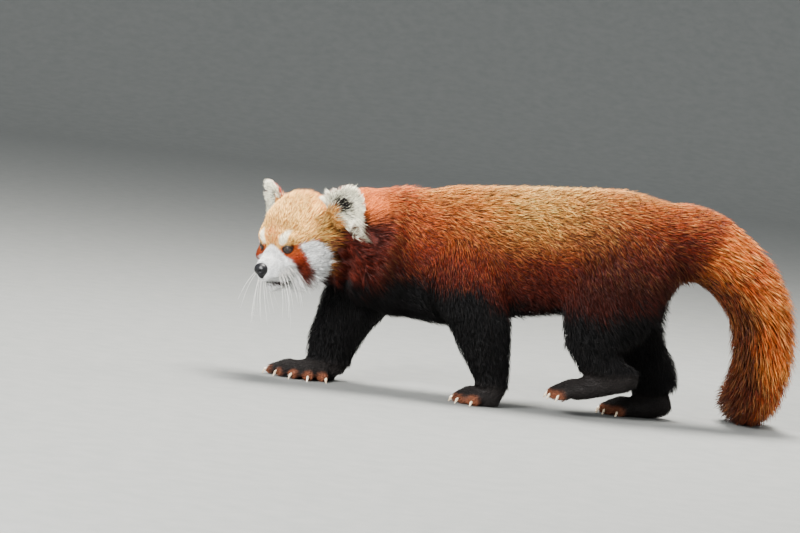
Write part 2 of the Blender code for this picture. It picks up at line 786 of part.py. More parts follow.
def add_fringe(node, sizes):
    """A row of locks down the back of a thigh."""
    draw = random.Random(LOCK_SEED + 2)
    holder = collection("fringe_locks", hidden=True)
    tree = tree_of(node)
    for k in range(sizes["count"]):
        start = Vector(sizes["from"]).lerp(Vector(sizes["to"]), k / (sizes["count"] - 1))
        surface_lock(tree, start, Vector(FRINGE_LIE), *FRINGE_LOCK, holder, draw)
    union_of(node, holder)
    thinned(node, triangles_in(node) * LOCKS_KEPT)


def region_along(stations, low, high, where):
    """A fat tube with flat ends round a tube of the body, from one point on its path to another."""
    rows = [row if len(row) == 5 else (*row, row[3]) for row in stations]
    dense = smooth_path(rows, 10)
    first, last = int(round(low * 10)), int(round(high * 10))
    picked = sorted({*range(first, last, 8), last})
    cut = dense[picked]
    if high == len(stations) - 1:
        cut = np.vstack([cut, cut[-1] + (cut[-1] - cut[-2]) * 2.5])
        cut[-2:, 3:5] = cut[-3, 3:5]
    cut[:, 3:5] = cut[:, 3:5] * 1.15 + 0.003
    return tube("region", [tuple(row) for row in cut], where, steps=1, points=REGION_POINTS)


def add_ear(side, where, tools):
    """A cupped ear: a thin shell over a rounded triangle, with a thick root."""
    bm = bmesh.new()
    turn = EAR_TURN[side]
    forward = Vector(turn[0]).normalized()
    up = Vector(turn[1])
    up = (up - forward * up.dot(forward)).normalized()
    across = up.cross(forward)
    place = Matrix((across, up, forward)).transposed().to_4x4()
    place.translation = EAR_CENTRE[side]

    def rim(angle):
        lift = math.sin(angle)
        narrow = 1.0 - EAR_NARROWING * max(lift, 0.0) ** 1.5
        return EAR_HALF_WIDTH * math.cos(angle) * narrow, EAR_HALF_HEIGHT * lift

    loops = []
    for face in (1, -1):
        for ring in range(1, EAR_RINGS + 1) if face > 0 else range(EAR_RINGS, 0, -1):
            part = ring / EAR_RINGS
            loop = []
            for k in range(EAR_POINTS):
                x, y = rim(2 * math.pi * k / EAR_POINTS)
                hollow = -EAR_CUP * (1 - part**2)
                shell = 0.0 if face > 0 else -EAR_WALL * (0.45 + 0.9 * (1 - part))
                loop.append(bm.verts.new((x * part, y * part, hollow + shell)))
            loops.append(loop)
    for low, high in zip(loops, loops[1:]):
        for k in range(EAR_POINTS):
            n = (k + 1) % EAR_POINTS
            bm.faces.new((low[k], low[n], high[n], high[k]))
    for loop, depth in ((loops[0], -EAR_CUP), (loops[-1], -EAR_CUP - EAR_WALL * 1.35)):
        middle = bm.verts.new((0, 0, depth))
        for k in range(EAR_POINTS):
            bm.faces.new((loop[k], loop[(k + 1) % EAR_POINTS], middle))
    bmesh.ops.recalc_face_normals(bm, faces=bm.faces)
    bmesh.ops.triangulate(bm, faces=bm.faces)
    bm.transform(head_matrix() @ place)
    ear = object_from(bm, "ear_left" if side < 0 else "ear_right", where)
    holder = collection("tufts", hidden=True)
    drop = ((head_matrix() @ place).to_3x3().inverted() @ Vector(EAR_TUFT_DROP)).normalized()
    for tuft in EAR_TUFTS:
        x, y = rim(math.radians(tuft["at"]))
        out = Vector((x, y, 0)).normalized()
        path = [Vector((x, y, -0.003)) - out * 0.003]
        for along, sway in zip(LOCK_STEPS, EAR_TUFT_SWAY):
            path.append(path[0] + out.lerp(drop, 1 - sway) * (tuft["length"] * along))
        lock(path, [Vector((0, 0, 1))] * 4, tuft["width"], tuft["width"] * EAR_TUFT_FLATNESS, holder)
    for piece in holder.objects:
        piece.data.transform(head_matrix() @ place)
    union_of(ear, holder)
    root = ball("ear_root", *EAR_ROOT, tools, segments=14)
    root.data.transform(head_matrix() @ place)
    boolean(ear, root, "UNION")
    bpy.data.objects.remove(root)
    thinned(ear, EAR_TRIANGLES)
    return ear


def add_eyes(head, where, tools):
    """Cuts the sockets under two lids and sets an eye in each."""
    for side, name in ((-1, "eye_left"), (1, "eye_right")):
        centre = Vector((EYE_DEPTH, side * EYE_SPREAD, 0.0))
        out = Vector((-math.cos(EYE_TURN), side * math.sin(EYE_TURN), 0.06)).normalized()
        turn = out.to_track_quat("-X", "Z").to_matrix()
        over = (EYE_RADIUS + LID_THICKNESS,) * 3
        lids = ball("lids", centre + out * LID_FORWARD, over, tools, segments=16)
        socket = ball("socket", centre, (EYE_RADIUS + GAP,) * 3, tools, segments=14)
        slit = ball("slit", centre + out * EYE_RADIUS, EYE_SLIT, tools, turn, segments=14)
        eye = ball(name, centre, (EYE_RADIUS,) * 3, where, segments=14)
        for obj in (lids, socket, slit, eye):
            obj.data.transform(head_matrix())
        boolean(head, lids, "UNION")
        boolean(head, socket, "DIFFERENCE")
        boolean(head, slit, "DIFFERENCE")
        for obj in (lids, socket, slit):
            bpy.data.objects.remove(obj)


def add_nose(head, where, tools):
    """The bare pad of the nose with its two nostrils, set into the muzzle."""
    balls = [ball("pad", NOSE_TIP + Vector(place), radii, tools) for place, radii in NOSE_PAD]
    nose = joined(balls, "nose", where)
    fuse = nose.modifiers.new("fuse", "REMESH")
    fuse.mode = "VOXEL"
    fuse.voxel_size = NOSE_VOXEL
    soften = nose.modifiers.new("soften", "SMOOTH")
    soften.iterations = SKIN_SMOOTHING
    applied(nose)
    thinned(nose, NOSE_TRIANGLES)
    nose.data.transform(head_matrix())
    wider = grown(nose, GAP, tools)
    boolean(head, wider, "DIFFERENCE")
    bpy.data.objects.remove(wider)
    cutters = []
    for side in (-1, 1):
        rows = [(*(NOSE_TIP + Vector((x, side * y, z))), wide, tall) for x, y, z, wide, tall in NOSTRIL]
        cutters.append(tube("nostril", rows, tools, steps=2, points=10))
    place, radii = NOSE_GROOVE
    cutters.append(ball("groove", NOSE_TIP + Vector(place), radii, tools, segments=12))
    for cutter in cutters:
        cutter.data.transform(head_matrix())
        boolean(nose, cutter, "DIFFERENCE")
        bpy.data.objects.remove(cutter)


def cut_mouth(head, tools):
    """A groove along the line where the lips meet, laid on the surface of the muzzle."""
    tree = tree_of(head)
    place = head_matrix()
    rows = []
    for side, depth, height in MOUTH_LINE:
        inside = place @ Vector((depth, 0.0, height))
        toward = place.to_3x3() @ Vector((-0.9 * (1 - abs(side)), side, -0.25)).normalized()
        hit = tree.ray_cast(inside + toward * 0.2, -toward)[0]
        rows.append((*hit, MOUTH_GROOVE, MOUTH_GROOVE))
    groove = tube("mouth", rows, tools, steps=3, points=8)
    boolean(head, groove, "DIFFERENCE")
    bpy.data.objects.remove(groove)


def add_claws(foot, paw, where, tools):
    """A bent tapering claw at the end of each toe."""
    fan = Vector(FEET[foot]["fan"])
    wider = grown(paw, GAP, tools)
    for number, tip in enumerate(FEET[foot]["tips"], 1):
        tip = Vector(tip)
        ahead = (tip - fan).normalized()
        bends = [tip + ahead * along + Vector((0, 0, rise)) for along, rise in CLAW_BENDS]
        rows = [
            (*bends[0], CLAW_RADIUS, CLAW_RADIUS * 1.25),
            (*bends[1], CLAW_RADIUS * 0.8, CLAW_RADIUS),
            (*bends[2], CLAW_TIP, CLAW_TIP),
        ]
        claw = tube(f"claw_{foot}_{number}", rows, where, steps=1, points=6)
        boolean(claw, wider, "DIFFERENCE")
        largest_piece(claw)
    bpy.data.objects.remove(wider)


def flat_at_floor(objects, tools):
    """Cuts small flats at one level on whatever reaches the floor."""
    floor = slab("floor", (0, 0, SOLE_CUT), (0, 0, -1), (0.05, 1.0, 1.0), tools)
    for obj in objects:
        if min(v.co.z for v in obj.data.vertices) < SOLE_CUT:
            boolean(obj, floor, "DIFFERENCE")
    bpy.data.objects.remove(floor)


def centre_on_floor(objects):
    corners = np.array([v.co for obj in objects for v in obj.data.vertices])
    low, high = corners.min(axis=0), corners.max(axis=0)
    shift = Vector((-(low[0] + high[0]) / 2, -(low[1] + high[1]) / 2, -low[2]))
    for obj in objects:
        obj.data.transform(Matrix.Translation(shift))
    print("moved by", [round(v, 5) for v in shift])


def build():
    clear_scene()
    parts = collection("red_panda")
    tools = collection("tools", hidden=True)
    masses = [tube("trunk", TRUNK, tools), tube("neck", NECK, tools)]
    masses += head_masses(tools)
    masses.append(tube("tail", tail_core()[:6], tools))
    for stations in LEGS.values():
        masses.append(tube("leg", stations, tools))
    for foot in FEET:
        masses += foot_masses(foot, tools)
    body = fused(masses, "torso", BODY_VOXEL, SKIN_TRIANGLES, parts)

    front = slab("region", *HEAD_CUT, tools)
    below = slab("below", *CHEST_CUT, tools)
    boolean(front, below, "DIFFERENCE")
    bpy.data.objects.remove(below)
    head = taken_out(body, front, "head", parts, tools)
    thinned(head, HEAD_TRIANGLES)
    paws = {}
    for foot, (centre, direction, size) in PAW_CUTS.items():
        paws[foot] = taken_out(body, slab("region", centre, direction, size, tools), foot, parts, tools)
        thinned(paws[foot], PAW_TRIANGLES)
    thinned(body, BODY_TRIANGLES)
    for leg, (joint, upper, lower) in LEG_NAMES.items():
        last = len(LEGS[leg]) - 1
        for name, low, high in ((upper, 0, joint), (lower, joint - KNEE_OVERLAP, last)):
            taken_out(body, region_along(LEGS[leg], low, high, tools), name, parts, tools)
    taken_out(body, slab("region", *NECK_CUT, tools), "neck", parts, tools)
    marks = [*TAIL_CUTS, len(TAIL) - 1]
    cut_off = region_along(TAIL, TAIL_CUTS[0], TAIL_CUTS[0] + 3, tools)
    boolean(body, cut_off, "DIFFERENCE")
    bpy.data.objects.remove(cut_off)
    spans = enumerate(zip(marks, marks[1:]), 1)
    tails = [tail_length(number, low, high, parts) for number, (low, high) in spans]
    largest_piece(body)

    add_tail_locks(tails, marks)
    for name, sizes in FRINGES.items():
        add_fringe(parts.objects[name], sizes)
    add_cheek_locks(head)
    for under, over in LIES_OVER:
        cut_clear(parts.objects[under], parts.objects[over], tools)
    add_eyes(head, parts, tools)
    cut_mouth(head, tools)
    add_nose(head, parts, tools)
    for side in (-1, 1):
        cut_clear(add_ear(side, parts, tools), head, tools)
    for foot, paw in paws.items():
        add_claws(foot, paw, parts, tools)
    flat_at_floor(parts.objects, tools)
    centre_on_floor(parts.objects)
    finishes = {name: finish_of(name) for name in COAT}
    for obj in parts.objects:
        obj.data.materials.clear()
        obj.data.materials.append(finishes[coat_of(obj.name)])
    counts = [triangles_in(obj) for obj in parts.objects]
    print("nodes", len(counts), "triangles", sum(counts), "most in one", max(counts))


def coat_of(name):
    """Which finish a part wears."""
    for start, finish in FINISHES:
        if name.startswith(start):
            return finish
    return "russet"


build()
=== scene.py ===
import itertools
import math

import bmesh
import bpy
import numpy as np
from mathutils import Matrix, Vector
from mathutils.bvhtree import BVHTree
from mathutils.kdtree import KDTree


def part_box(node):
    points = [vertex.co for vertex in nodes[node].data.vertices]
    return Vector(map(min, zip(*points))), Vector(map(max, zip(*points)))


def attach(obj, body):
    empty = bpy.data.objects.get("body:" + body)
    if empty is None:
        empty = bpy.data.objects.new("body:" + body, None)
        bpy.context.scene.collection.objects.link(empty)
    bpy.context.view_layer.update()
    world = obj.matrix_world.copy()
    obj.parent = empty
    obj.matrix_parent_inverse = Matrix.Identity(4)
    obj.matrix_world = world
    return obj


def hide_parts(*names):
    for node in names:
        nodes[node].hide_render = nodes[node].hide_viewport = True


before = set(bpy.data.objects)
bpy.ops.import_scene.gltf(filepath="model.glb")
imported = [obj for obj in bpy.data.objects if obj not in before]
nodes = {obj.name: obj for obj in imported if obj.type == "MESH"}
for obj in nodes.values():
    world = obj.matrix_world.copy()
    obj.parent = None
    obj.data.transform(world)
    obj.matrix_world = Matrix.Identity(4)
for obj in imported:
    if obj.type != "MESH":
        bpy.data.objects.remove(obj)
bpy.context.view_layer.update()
rng = np.random.default_rng(7)
print("frame loaded:", len(nodes), "nodes")

shift = np.array((-0.0202, -0.0409, -0.0020))  # how far the solids were moved to stand centred on the floor
eyeMidpoint = np.array((-0.3356, -0.0580, 0.1874)) + shift
headTurn = np.array((
    Matrix.Rotation(math.radians(48.2), 3, "Z")
    @ Matrix.Rotation(math.radians(-19.5), 3, "Y")
    @ Matrix.Rotation(math.radians(-3.2), 3, "X")
))
eyeSpread, eyeDepth, eyeRadius = 0.0225, 0.0030, 0.0078
noseTip = np.array((-0.0415, 0.0, -0.0205))  # in the head's own axes, with -X forward
# each ear's middle and the way it faces; the far one is turned more to the front
earCentres = np.array(((0.068, 0.0765, 0.042), (0.072, 0.072, 0.042)))
earFacings = np.array(((-0.78, 0.62, 0.10), (-0.88, 0.44, 0.10)))
earUp = np.array((0.10, 0.64, 0.76)) / 0.9985
earRear = np.array((0.667, 0.745, 0.0))
tuftEnd = np.array((0.0185, 0.0243, -0.0560))  # the point of the ear's hanging tuft, from the ear's middle
eyeGaze = np.array((-math.cos(math.radians(30)), math.sin(math.radians(30)), -0.02))
# the middle of the tail's core, as laid in the solids, and the coat's reach there
tailLine = np.array((
    (0.176, 0.000, 0.262, 0.040),
    (0.205, 0.000, 0.263, 0.051),
    (0.233, 0.001, 0.260, 0.055),
    (0.263, 0.003, 0.249, 0.056),
    (0.294, 0.006, 0.231, 0.056),
    (0.320, 0.010, 0.208, 0.055),
    (0.340, 0.015, 0.180, 0.053),
    (0.351, 0.021, 0.150, 0.051),
    (0.357, 0.028, 0.121, 0.050),
    (0.358, 0.040, 0.092, 0.048),
    (0.356, 0.060, 0.065, 0.046),
    (0.354, 0.088, 0.047, 0.044),
    (0.354, 0.116, 0.039, 0.041),
    (0.356, 0.140, 0.033, 0.032),
))
tailLine[:, :3] += shift


def paint(red, green, blue):  # a screen colour as the linear one that materials take
    screen = np.array((red, green, blue)) / 255.0
    return np.where(screen <= 0.04045, screen / 12.92, ((screen + 0.055) / 1.055) ** 2.4)


def unit(vectors):
    return vectors / np.maximum(np.linalg.norm(vectors, axis=-1, keepdims=True), 1e-9)


def ease(low, high, values):  # 0 below low, 1 above high, smooth between
    part = np.clip((values - low) / (high - low), 0.0, 1.0)
    return part * part * (3.0 - 2.0 * part)


def over(base, mask, top):  # the top value where the mask is 1
    return base * (1.0 - mask[:, None]) + top * mask[:, None]


latticePrimes = np.array((73856093, 19349663, 83492791))
latticeStir = 1274126177


def noiseAt(points, size, seed):  # smooth noise between -1 and 1
    cells = points / size + seed * 13.7
    base = np.floor(cells).astype(np.int64)
    part = cells - base
    part = part * part * (3.0 - 2.0 * part)
    total = np.zeros(len(points))
    for corner in itertools.product((0, 1), repeat=3):
        mixed = (base + np.array(corner)) * latticePrimes
        key = mixed[:, 0] ^ mixed[:, 1] ^ mixed[:, 2]
        key = (key ^ (key >> 13)) * latticeStir & 0xFFFFFFFF
        weight = np.prod(np.where(corner, part, 1.0 - part), axis=1)
        total += weight * ((key ^ (key >> 16)) / 2147483648.0 - 1.0)
    return total


def insidePatch(x, z, corners):  # how deep a place lies inside a patch; below 0 outside
    far = np.full(len(x), 1e9)
    inside = np.zeros(len(x), bool)
    for (ax, az), (bx, bz) in zip(corners, corners[1:] + corners[:1]):
        ex, ez = bx - ax, bz - az
        part = np.clip(((x - ax) * ex + (z - az) * ez) / (ex * ex + ez * ez), 0, 1)
        far = np.minimum(far, np.hypot(x - ax - part * ex, z - az - part * ez))
        crossing = ax + (z - az) * ex / (ez if ez else 1e-9)
        inside ^= ((az > z) != (bz > z)) & (x < crossing)
    return np.where(inside, far, -far)


def nearLine(points, line):  # distance to a line of stations, and how far along it the nearest place is
    best = np.full(len(points), 1e9)
    along = np.zeros(len(points))
    for index in range(len(line) - 1):
        start, edge = line[index], line[index + 1] - line[index]
        part = np.clip((points - start) @ edge / (edge @ edge), 0, 1)
        far = np.linalg.norm(points - start - part[:, None] * edge, axis=1)
        closer = far < best
        best = np.where(closer, far, best)
        along = np.where(closer, index + part, along)
    return best, along


def ways(x, y, z):  # directions from single numbers or from one number for each place
    return np.stack(np.broadcast_arrays(x, y, z), axis=-1)


def inHead(points):  # places in the head's own axes
    return (points - eyeMidpoint) @ headTurn


def eyeCentre(side):
    return eyeMidpoint + headTurn @ np.array((eyeDepth, side * eyeSpread, 0.0))


def fromEar(q):  # places seen from the middle of the nearer ear, mirrored to one side, and the way it faces
    side = (q[:, 1] > 0).astype(int)
    away = np.stack([q[:, 0], np.abs(q[:, 1]), q[:, 2]], axis=1) - earCentres[side]
    return away, unit(earFacings[side])


def besideTuft(away):  # 1 below the ear's bowl and away from its hanging tuft
    line = np.array((earRear * 0.004 - earUp * 0.014, tuftEnd))
    return ease(-0.010, -0.017, away @ earUp) * ease(0.0095, 0.0135, nearLine(away, line)[0])


def addMesh(name, points, faces, material, slot, replaced=()):
    mesh = bpy.data.meshes.new(name)
    faces = np.asarray(faces, np.int32)
    sides = faces.shape[1]
    mesh.vertices.add(len(points))
    mesh.vertices.foreach_set("co", np.asarray(points, np.float32).ravel())
    mesh.loops.add(faces.size)
    mesh.loops.foreach_set("vertex_index", faces.ravel())
    mesh.polygons.add(len(faces))
    mesh.polygons.foreach_set("loop_start", np.arange(0, faces.size, sides, dtype=np.int32))
    mesh.polygons.foreach_set("use_smooth", np.ones(len(faces), bool))
    mesh.update(calc_edges=True)
    thing = bpy.data.objects.new(name, mesh)
    bpy.context.scene.collection.objects.link(thing)
    if material:
        mesh.materials.append(material)
    if slot:
        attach(thing, "root")
    if replaced:
        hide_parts(*replaced)
    return thing


def addColour(mesh, name, colours):
    held = mesh.attributes.new(name, "FLOAT_COLOR", "POINT")
    full = np.ones((len(colours), 4), np.float32)
    full[:, :3] = colours
    held.data.foreach_set("color", full.ravel())


def addValue(mesh, name, values):
    held = mesh.attributes.new(name, "FLOAT", "POINT")
    held.data.foreach_set("value", np.asarray(values, np.float32))


def hide(name):  # a solid that another piece stands for
    nodes[name].hide_render = True
    nodes[name].hide_viewport = True


# materials
class Wire:  # one socket of a material, with the arithmetic that shading needs
    def __init__(self, tree, socket=None):
        self.tree = tree
        self.socket = socket

    def add(self, kind, settings=None, values=None, out=0):  # any other node
        node = self.tree.nodes.new(kind)
        for name, value in (settings or {}).items():
            setattr(node, name, value)
        for name, value in (values or {}).items():
            if isinstance(value, Wire):
                self.tree.links.new(value.socket, node.inputs[name])
            else:
                node.inputs[name].default_value = value
        return Wire(self.tree, node.outputs[out])

    def sums(self, operation, first, second):
        return self.add("ShaderNodeMath", {"operation": operation}, {0: first, 1: second})

    def __add__(self, other):
        return self.sums("ADD", self, other)

    __radd__ = __add__

    def __sub__(self, other):
        return self.sums("SUBTRACT", self, other)

    def __rsub__(self, other):
        return self.sums("SUBTRACT", other, self)

    def __mul__(self, other):
        return self.sums("MULTIPLY", self, other)

    __rmul__ = __mul__

    def ramp(self, low, high, first=0.0, last=1.0):  # from one range to another, kept inside it
        return self.add("ShaderNodeMapRange", {"clamp": True}, {0: self, 1: low, 2: high, 3: first, 4: last})

    def blend(self, first, second):  # this value says how much of the second colour
        return self.add("ShaderNodeMix", {"data_type": "RGBA"}, {0: self, 6: first, 7: second}, out=2)

    def tone(self, mixed):  # a colour made darker or lighter by this value
        grey = self.add("ShaderNodeCombineColor", values={0: self, 1: self, 2: self})
        settings = {"data_type": "RGBA", "blend_type": "MULTIPLY"}
        return self.add("ShaderNodeMix", settings, {0: 1.0, 6: mixed, 7: grey}, out=2)

    def bump(self, strength, distance):  # this value as a height
        return self.add("ShaderNodeBump", values={"Height": self, "Strength": strength, "Distance": distance})

    def place(self):
        return self.add("ShaderNodeTexCoord", out=3)

    def noise(self, scale, detail):
        values = {"Vector": self.place(), "Scale": scale, "Detail": detail}
        return self.add("ShaderNodeTexNoise", values=values)

    def carried(self, name, out=2):  # a value that the mesh carries, or with out=0 a colour
        return self.add("ShaderNodeAttribute", {"attribute_name": name}, out=out)


def colour(red, green, blue):
    return (*paint(red, green, blue), 1.0)


def newMaterial(name, roughness, specular, coat=0.0):
    material = bpy.data.materials.new(name)
    material.use_nodes = True
    surface = material.node_tree.nodes["Principled BSDF"]
    surface.inputs["Roughness"].default_value = roughness
    surface.inputs["Specular IOR Level"].default_value = specular
    surface.inputs["Coat Weight"].default_value = coat
    surface.inputs["Coat Roughness"].default_value = 0.04
    return material, Wire(material.node_tree), surface


def feed(surface, name, wire):
    wire.tree.links.new(wire.socket, surface.inputs[name])


# the third value darkens each tuft toward its root: partly the roots' own darker colour, partly painted shade
# between the tufts
furLook = dict(roughness=0.55, specular=0.14, darkRoot=0.60, strandLow=0.50, strandHigh=1.42)


def furMaterial(name):
    material, start, surface = newMaterial(name, furLook["roughness"], furLook["specular"])
    along = start.carried("along")
    grain = start.noise(900.0, 2.0)
    mixed = along.ramp(0.30, 0.95).blend(start.carried("rootColour", 0), start.carried("tipColour", 0))
    shade = start.carried("strand").ramp(0.0, 1.0, furLook["strandLow"], furLook["strandHigh"])
    # darker toward the root: the roots' own darker colour and painted shade in the gaps between the tufts
    shade = shade * along.ramp(0.0, 0.6, furLook["darkRoot"], 1.0) * grain.ramp(0.3, 0.7, 0.9, 1.1)
    feed(surface, "Base Color", shade.tone(mixed))
    feed(surface, "Roughness", grain.ramp(0.2, 0.8, furLook["roughness"] - 0.08, furLook["roughness"] + 0.1))
    return material


def skinMaterial():
    material, start, surface = newMaterial("coatSkin", 0.7, 0.2)
    fine = start.noise(700.0, 3.0)
    mottle = fine.ramp(0.35, 0.65, 0.1, 0.6)
    mixed = mottle.blend(start.carried("rootColour", 0), start.carried("tipColour", 0))
    feed(surface, "Base Color", fine.ramp(0.3, 0.7, 0.5, 0.85).tone(mixed))
    feed(surface, "Normal", fine.bump(0.6, 0.001))
    return material


def noseMaterial():
    material, start, surface = newMaterial("noseLeather", 0.36, 0.3)
    cells = start.add("ShaderNodeTexVoronoi", values={"Vector": start.place(), "Scale": 900.0})
    cloud = start.noise(160.0, 4.0)
    feed(surface, "Base Color", cloud.ramp(0.35, 0.7).blend(colour(6, 6, 8), colour(20, 19, 23)))
    feed(surface, "Roughness", cloud.ramp(0.3, 0.7, 0.28, 0.46))
    feed(surface, "Normal", (cells.ramp(0.0, 0.5) + cloud * 0.5).bump(0.22, 0.0004))
    return material


def clawMaterial():
    material, start, surface = newMaterial("clawHorn", 0.32, 0.5)
    streak = start.noise(420.0, 3.0)
    feed(surface, "Base Color", streak.ramp(0.35, 0.7).blend(colour(226, 208, 178), colour(150, 122, 92)))
    feed(surface, "Roughness", streak.ramp(0.3, 0.7, 0.25, 0.42))
    feed(surface, "Normal", streak.bump(0.3, 0.0003))
    return material


eyeLook = dict(pupil=(20.0, 25.0), rim=(30.0, 46.0), subdivisions=5)  # pupil and rim in degrees from the gaze


def eyeMaterial(name, side):  # pupil, iris and dark rim drawn by the angle from the way it looks
    gaze = headTurn @ unit(eyeGaze * (1, side, 1))
    material, start, surface = newMaterial(name, 0.05, 0.45, 0.35)
    ray = {0: start.place(), 1: tuple(eyeCentre(side))}
    ray = start.add("ShaderNodeVectorMath", {"operation": "SUBTRACT"}, ray)
    ray = start.add("ShaderNodeVectorMath", {"operation": "NORMALIZE"}, {0: ray})
    facing = start.add("ShaderNodeVectorMath", {"operation": "DOT_PRODUCT"}, {0: ray, 1: tuple(gaze)}, out=1)
    angle = start.sums("ARCCOSINE", facing, 0.0) * (180.0 / math.pi)
    flecks = start.noise(1100.0, 4.0)
    iris = flecks.ramp(0.3, 0.7).blend(colour(32, 18, 11), colour(60, 37, 24))
    dark = (angle + flecks * 1.5).ramp(*eyeLook["pupil"]).blend(colour(3, 3, 4), iris)
    feed(surface, "Base Color", (angle + flecks * 2.0).ramp(*eyeLook["rim"]).blend(dark, colour(7, 5, 5)))
    feed(surface, "Roughness", flecks.ramp(0.3, 0.7, 0.03, 0.07))
    return material


def lidMaterial():
    material, start, surface = newMaterial("lidLeather", 0.45, 0.2)
    grain = start.noise(1300.0, 3.0)
    leather = grain.ramp(0.35, 0.7).blend(colour(10, 8, 8), colour(28, 20, 17))
    furred = (start.carried("along") + grain * 0.06).ramp(0.16, 0.26)
    feed(surface, "Base Color", furred.blend(leather, start.carried("rootColour", 0)))
    feed(surface, "Normal", grain.bump(0.4, 0.0003))
    return material


def whiskerMaterial():
    material, start, surface = newMaterial("whiskerHair", 0.4, 0.4)
    feed(surface, "Base Color", start.carried("along").blend(colour(206, 200, 192), colour(250, 248, 244)))
    return material


# skin
mouthLook = dict(height=-0.0388, frontX=-0.035, slope=0.27)


def mouthHeight(x):  # the lips meet lower toward the corner of the mouth
    return mouthLook["height"] - mouthLook["slope"] * (x - mouthLook["frontX"])


withersX = -0.165
skinLook = dict(
    voxel=0.0020, seal=0.0004, smooth=3, trunkSmooth=30, rumpSmooth=90, earSmooth=60,
    mouth=0.0014, withersDip=0.0045, jawDepth=0.0035, coreShare=0.60, coreSides=24,
)
coatDepth = dict(torso=0.0070, neck=0.0048, head=0.0020, ear=0.0009, thigh=0.0055, foreleg=0.0045,
                 shank=0.0035, forepaw=0.0016, hindpaw=0.0016, tail=0.0)


def arraysOf(mesh):
    mesh.calc_loop_triangles()
    points = np.zeros(len(mesh.vertices) * 3)
    mesh.vertices.foreach_get("co", points)
    faces = np.zeros(len(mesh.loop_triangles) * 3, np.int32)
    mesh.loop_triangles.foreach_get("vertices", faces)
    return points.reshape(-1, 3), faces.reshape(-1, 3)


def normalsOf(points, faces):
    a, b, c = points[faces[:, 0]], points[faces[:, 1]], points[faces[:, 2]]
    flat = np.cross(b - a, c - a)
    total = np.zeros((len(points), 3))
    for axis in range(3):
        total[:, axis] = sum(np.bincount(faces[:, corner], flat[:, axis], len(points)) for corner in range(3))
    return unit(total)


def edgesOf(faces):
    pairs = np.sort(np.concatenate([faces[:, (0, 1)], faces[:, (1, 2)], faces[:, (2, 0)]]), axis=1)
    return np.unique(pairs, axis=0)


def spread(values, edges, times):  # each point takes the mean of its neighbours and itself
    ends = np.concatenate([edges, edges[:, ::-1]])
    count = np.bincount(ends[:, 0], minlength=len(values)) + 1.0
    for _ in range(times):
        columns = values[ends[:, 1]].T
        gathered = [np.bincount(ends[:, 0], column, len(values)) for column in columns]
        values = (np.stack(gathered, axis=1) + values) / count[:, None]
    return values


def remeshed(points, faces, voxel):
    mesh = bpy.data.meshes.new("work")
    mesh.from_pydata([tuple(p) for p in points], [], [tuple(f) for f in faces.tolist()])
    thing = bpy.data.objects.new("work", mesh)
    bpy.context.scene.collection.objects.link(thing)
    change = thing.modifiers.new("voxels", "REMESH")
    change.mode = "VOXEL"
    change.voxel_size = voxel
    done = thing.evaluated_get(bpy.context.evaluated_depsgraph_get())
    arrays = arraysOf(done.to_mesh())
    done.to_mesh_clear()
    bpy.data.objects.remove(thing)
    bpy.data.meshes.remove(mesh)
    return arrays


def tubeAlong(line, sides):  # a closed tube with a station's last number as its radius
    middle = np.array([line[0]] + list(line) + [line[-1]])
    run = []
    for index in range(1, len(middle) - 2):
        for part in np.arange(0, 1, 0.25):
            a, b, c, d = middle[index - 1:index + 3]
            square, cube = 2 * a - 5 * b + 4 * c - d, 3 * b - a - 3 * c + d
            run.append(0.5 * (2 * b + (c - a) * part + square * part ** 2 + cube * part ** 3))
    run.append(line[-1])
    run = np.array(run)
    onward = unit(np.gradient(run[:, :3], axis=0))
    across = unit(np.cross(onward, (0.0, 1.0, 0.02)))
    other = np.cross(onward, across)
    turn = np.arange(sides) / sides * 2 * math.pi
    rings = run[:, None, :3] + run[:, None, 3:] * (
        across[:, None] * np.cos(turn)[None, :, None] + other[:, None] * np.sin(turn)[None, :, None])
    end = run[-1:, :3] + onward[-1:] * run[-1, 3] * 0.8
    points = np.concatenate([rings.reshape(-1, 3), run[:1, :3], end])
    faces = []
    for ring in range(len(run) - 1):
        for side in range(sides):
            a, b = ring * sides + side, ring * sides + (side + 1) % sides
            faces += [(a, b, b + sides), (a, b + sides, a + sides)]
    top, end = len(points) - 2, len(points) - 1
    last = (len(run) - 1) * sides
    for side in range(sides):
        faces += [(top, (side + 1) % sides, side), (end, last + side, last + (side + 1) % sides)]
    return points, np.array(faces)


kinds = ["torso", "neck", "head", "ear", "thigh", "foreleg", "shank", "forepaw", "hindpaw", "tail"]
headKind, earKind = kinds.index("head"), kinds.index("ear")
fleshNodes = [name for name in nodes if name.split("_")[0] in kinds]
allPoints, allFaces, allKinds, count = [], [], [], 0
sealPoints, sealFaces, sealCount = [], [], 0
for name in fleshNodes:
    points, faces = arraysOf(nodes[name].data)
    allPoints.append(points)
    allFaces.append(faces + count)
    allKinds += [kinds.index(name.split("_")[0])] * len(faces)
    count += len(points)
    if not name.startswith("tail"):
        sealPoints.append(points + normalsOf(points, faces) * skinLook["seal"])
        sealFaces.append(faces + sealCount)
        sealCount += len(points)
core = tailLine.copy()
core[:, 3] *= 1 - (1 - skinLook["coreShare"]) * ease(1.2, 5.0, np.arange(len(core)))
points, faces = tubeAlong(core, skinLook["coreSides"])
sealPoints.append(points)
sealFaces.append(faces + sealCount)
kindOfFace = np.array(allKinds)
nodeTree = BVHTree.FromPolygons(np.concatenate(allPoints).tolist(), np.concatenate(allFaces).tolist())


def kindsAt(points):  # how much of each kind of part a place belongs to
    held = np.zeros((len(points), len(kinds)))
    nearest = [nodeTree.find_nearest(Vector(p))[2] for p in points]
    held[np.arange(len(points)), kindOfFace[nearest]] = 1.0
    return held


def calmShare(held):  # how much of a place belongs to the parts without small forms
    return held @ np.isin(kinds, ("torso", "neck", "thigh", "tail")).astype(float)


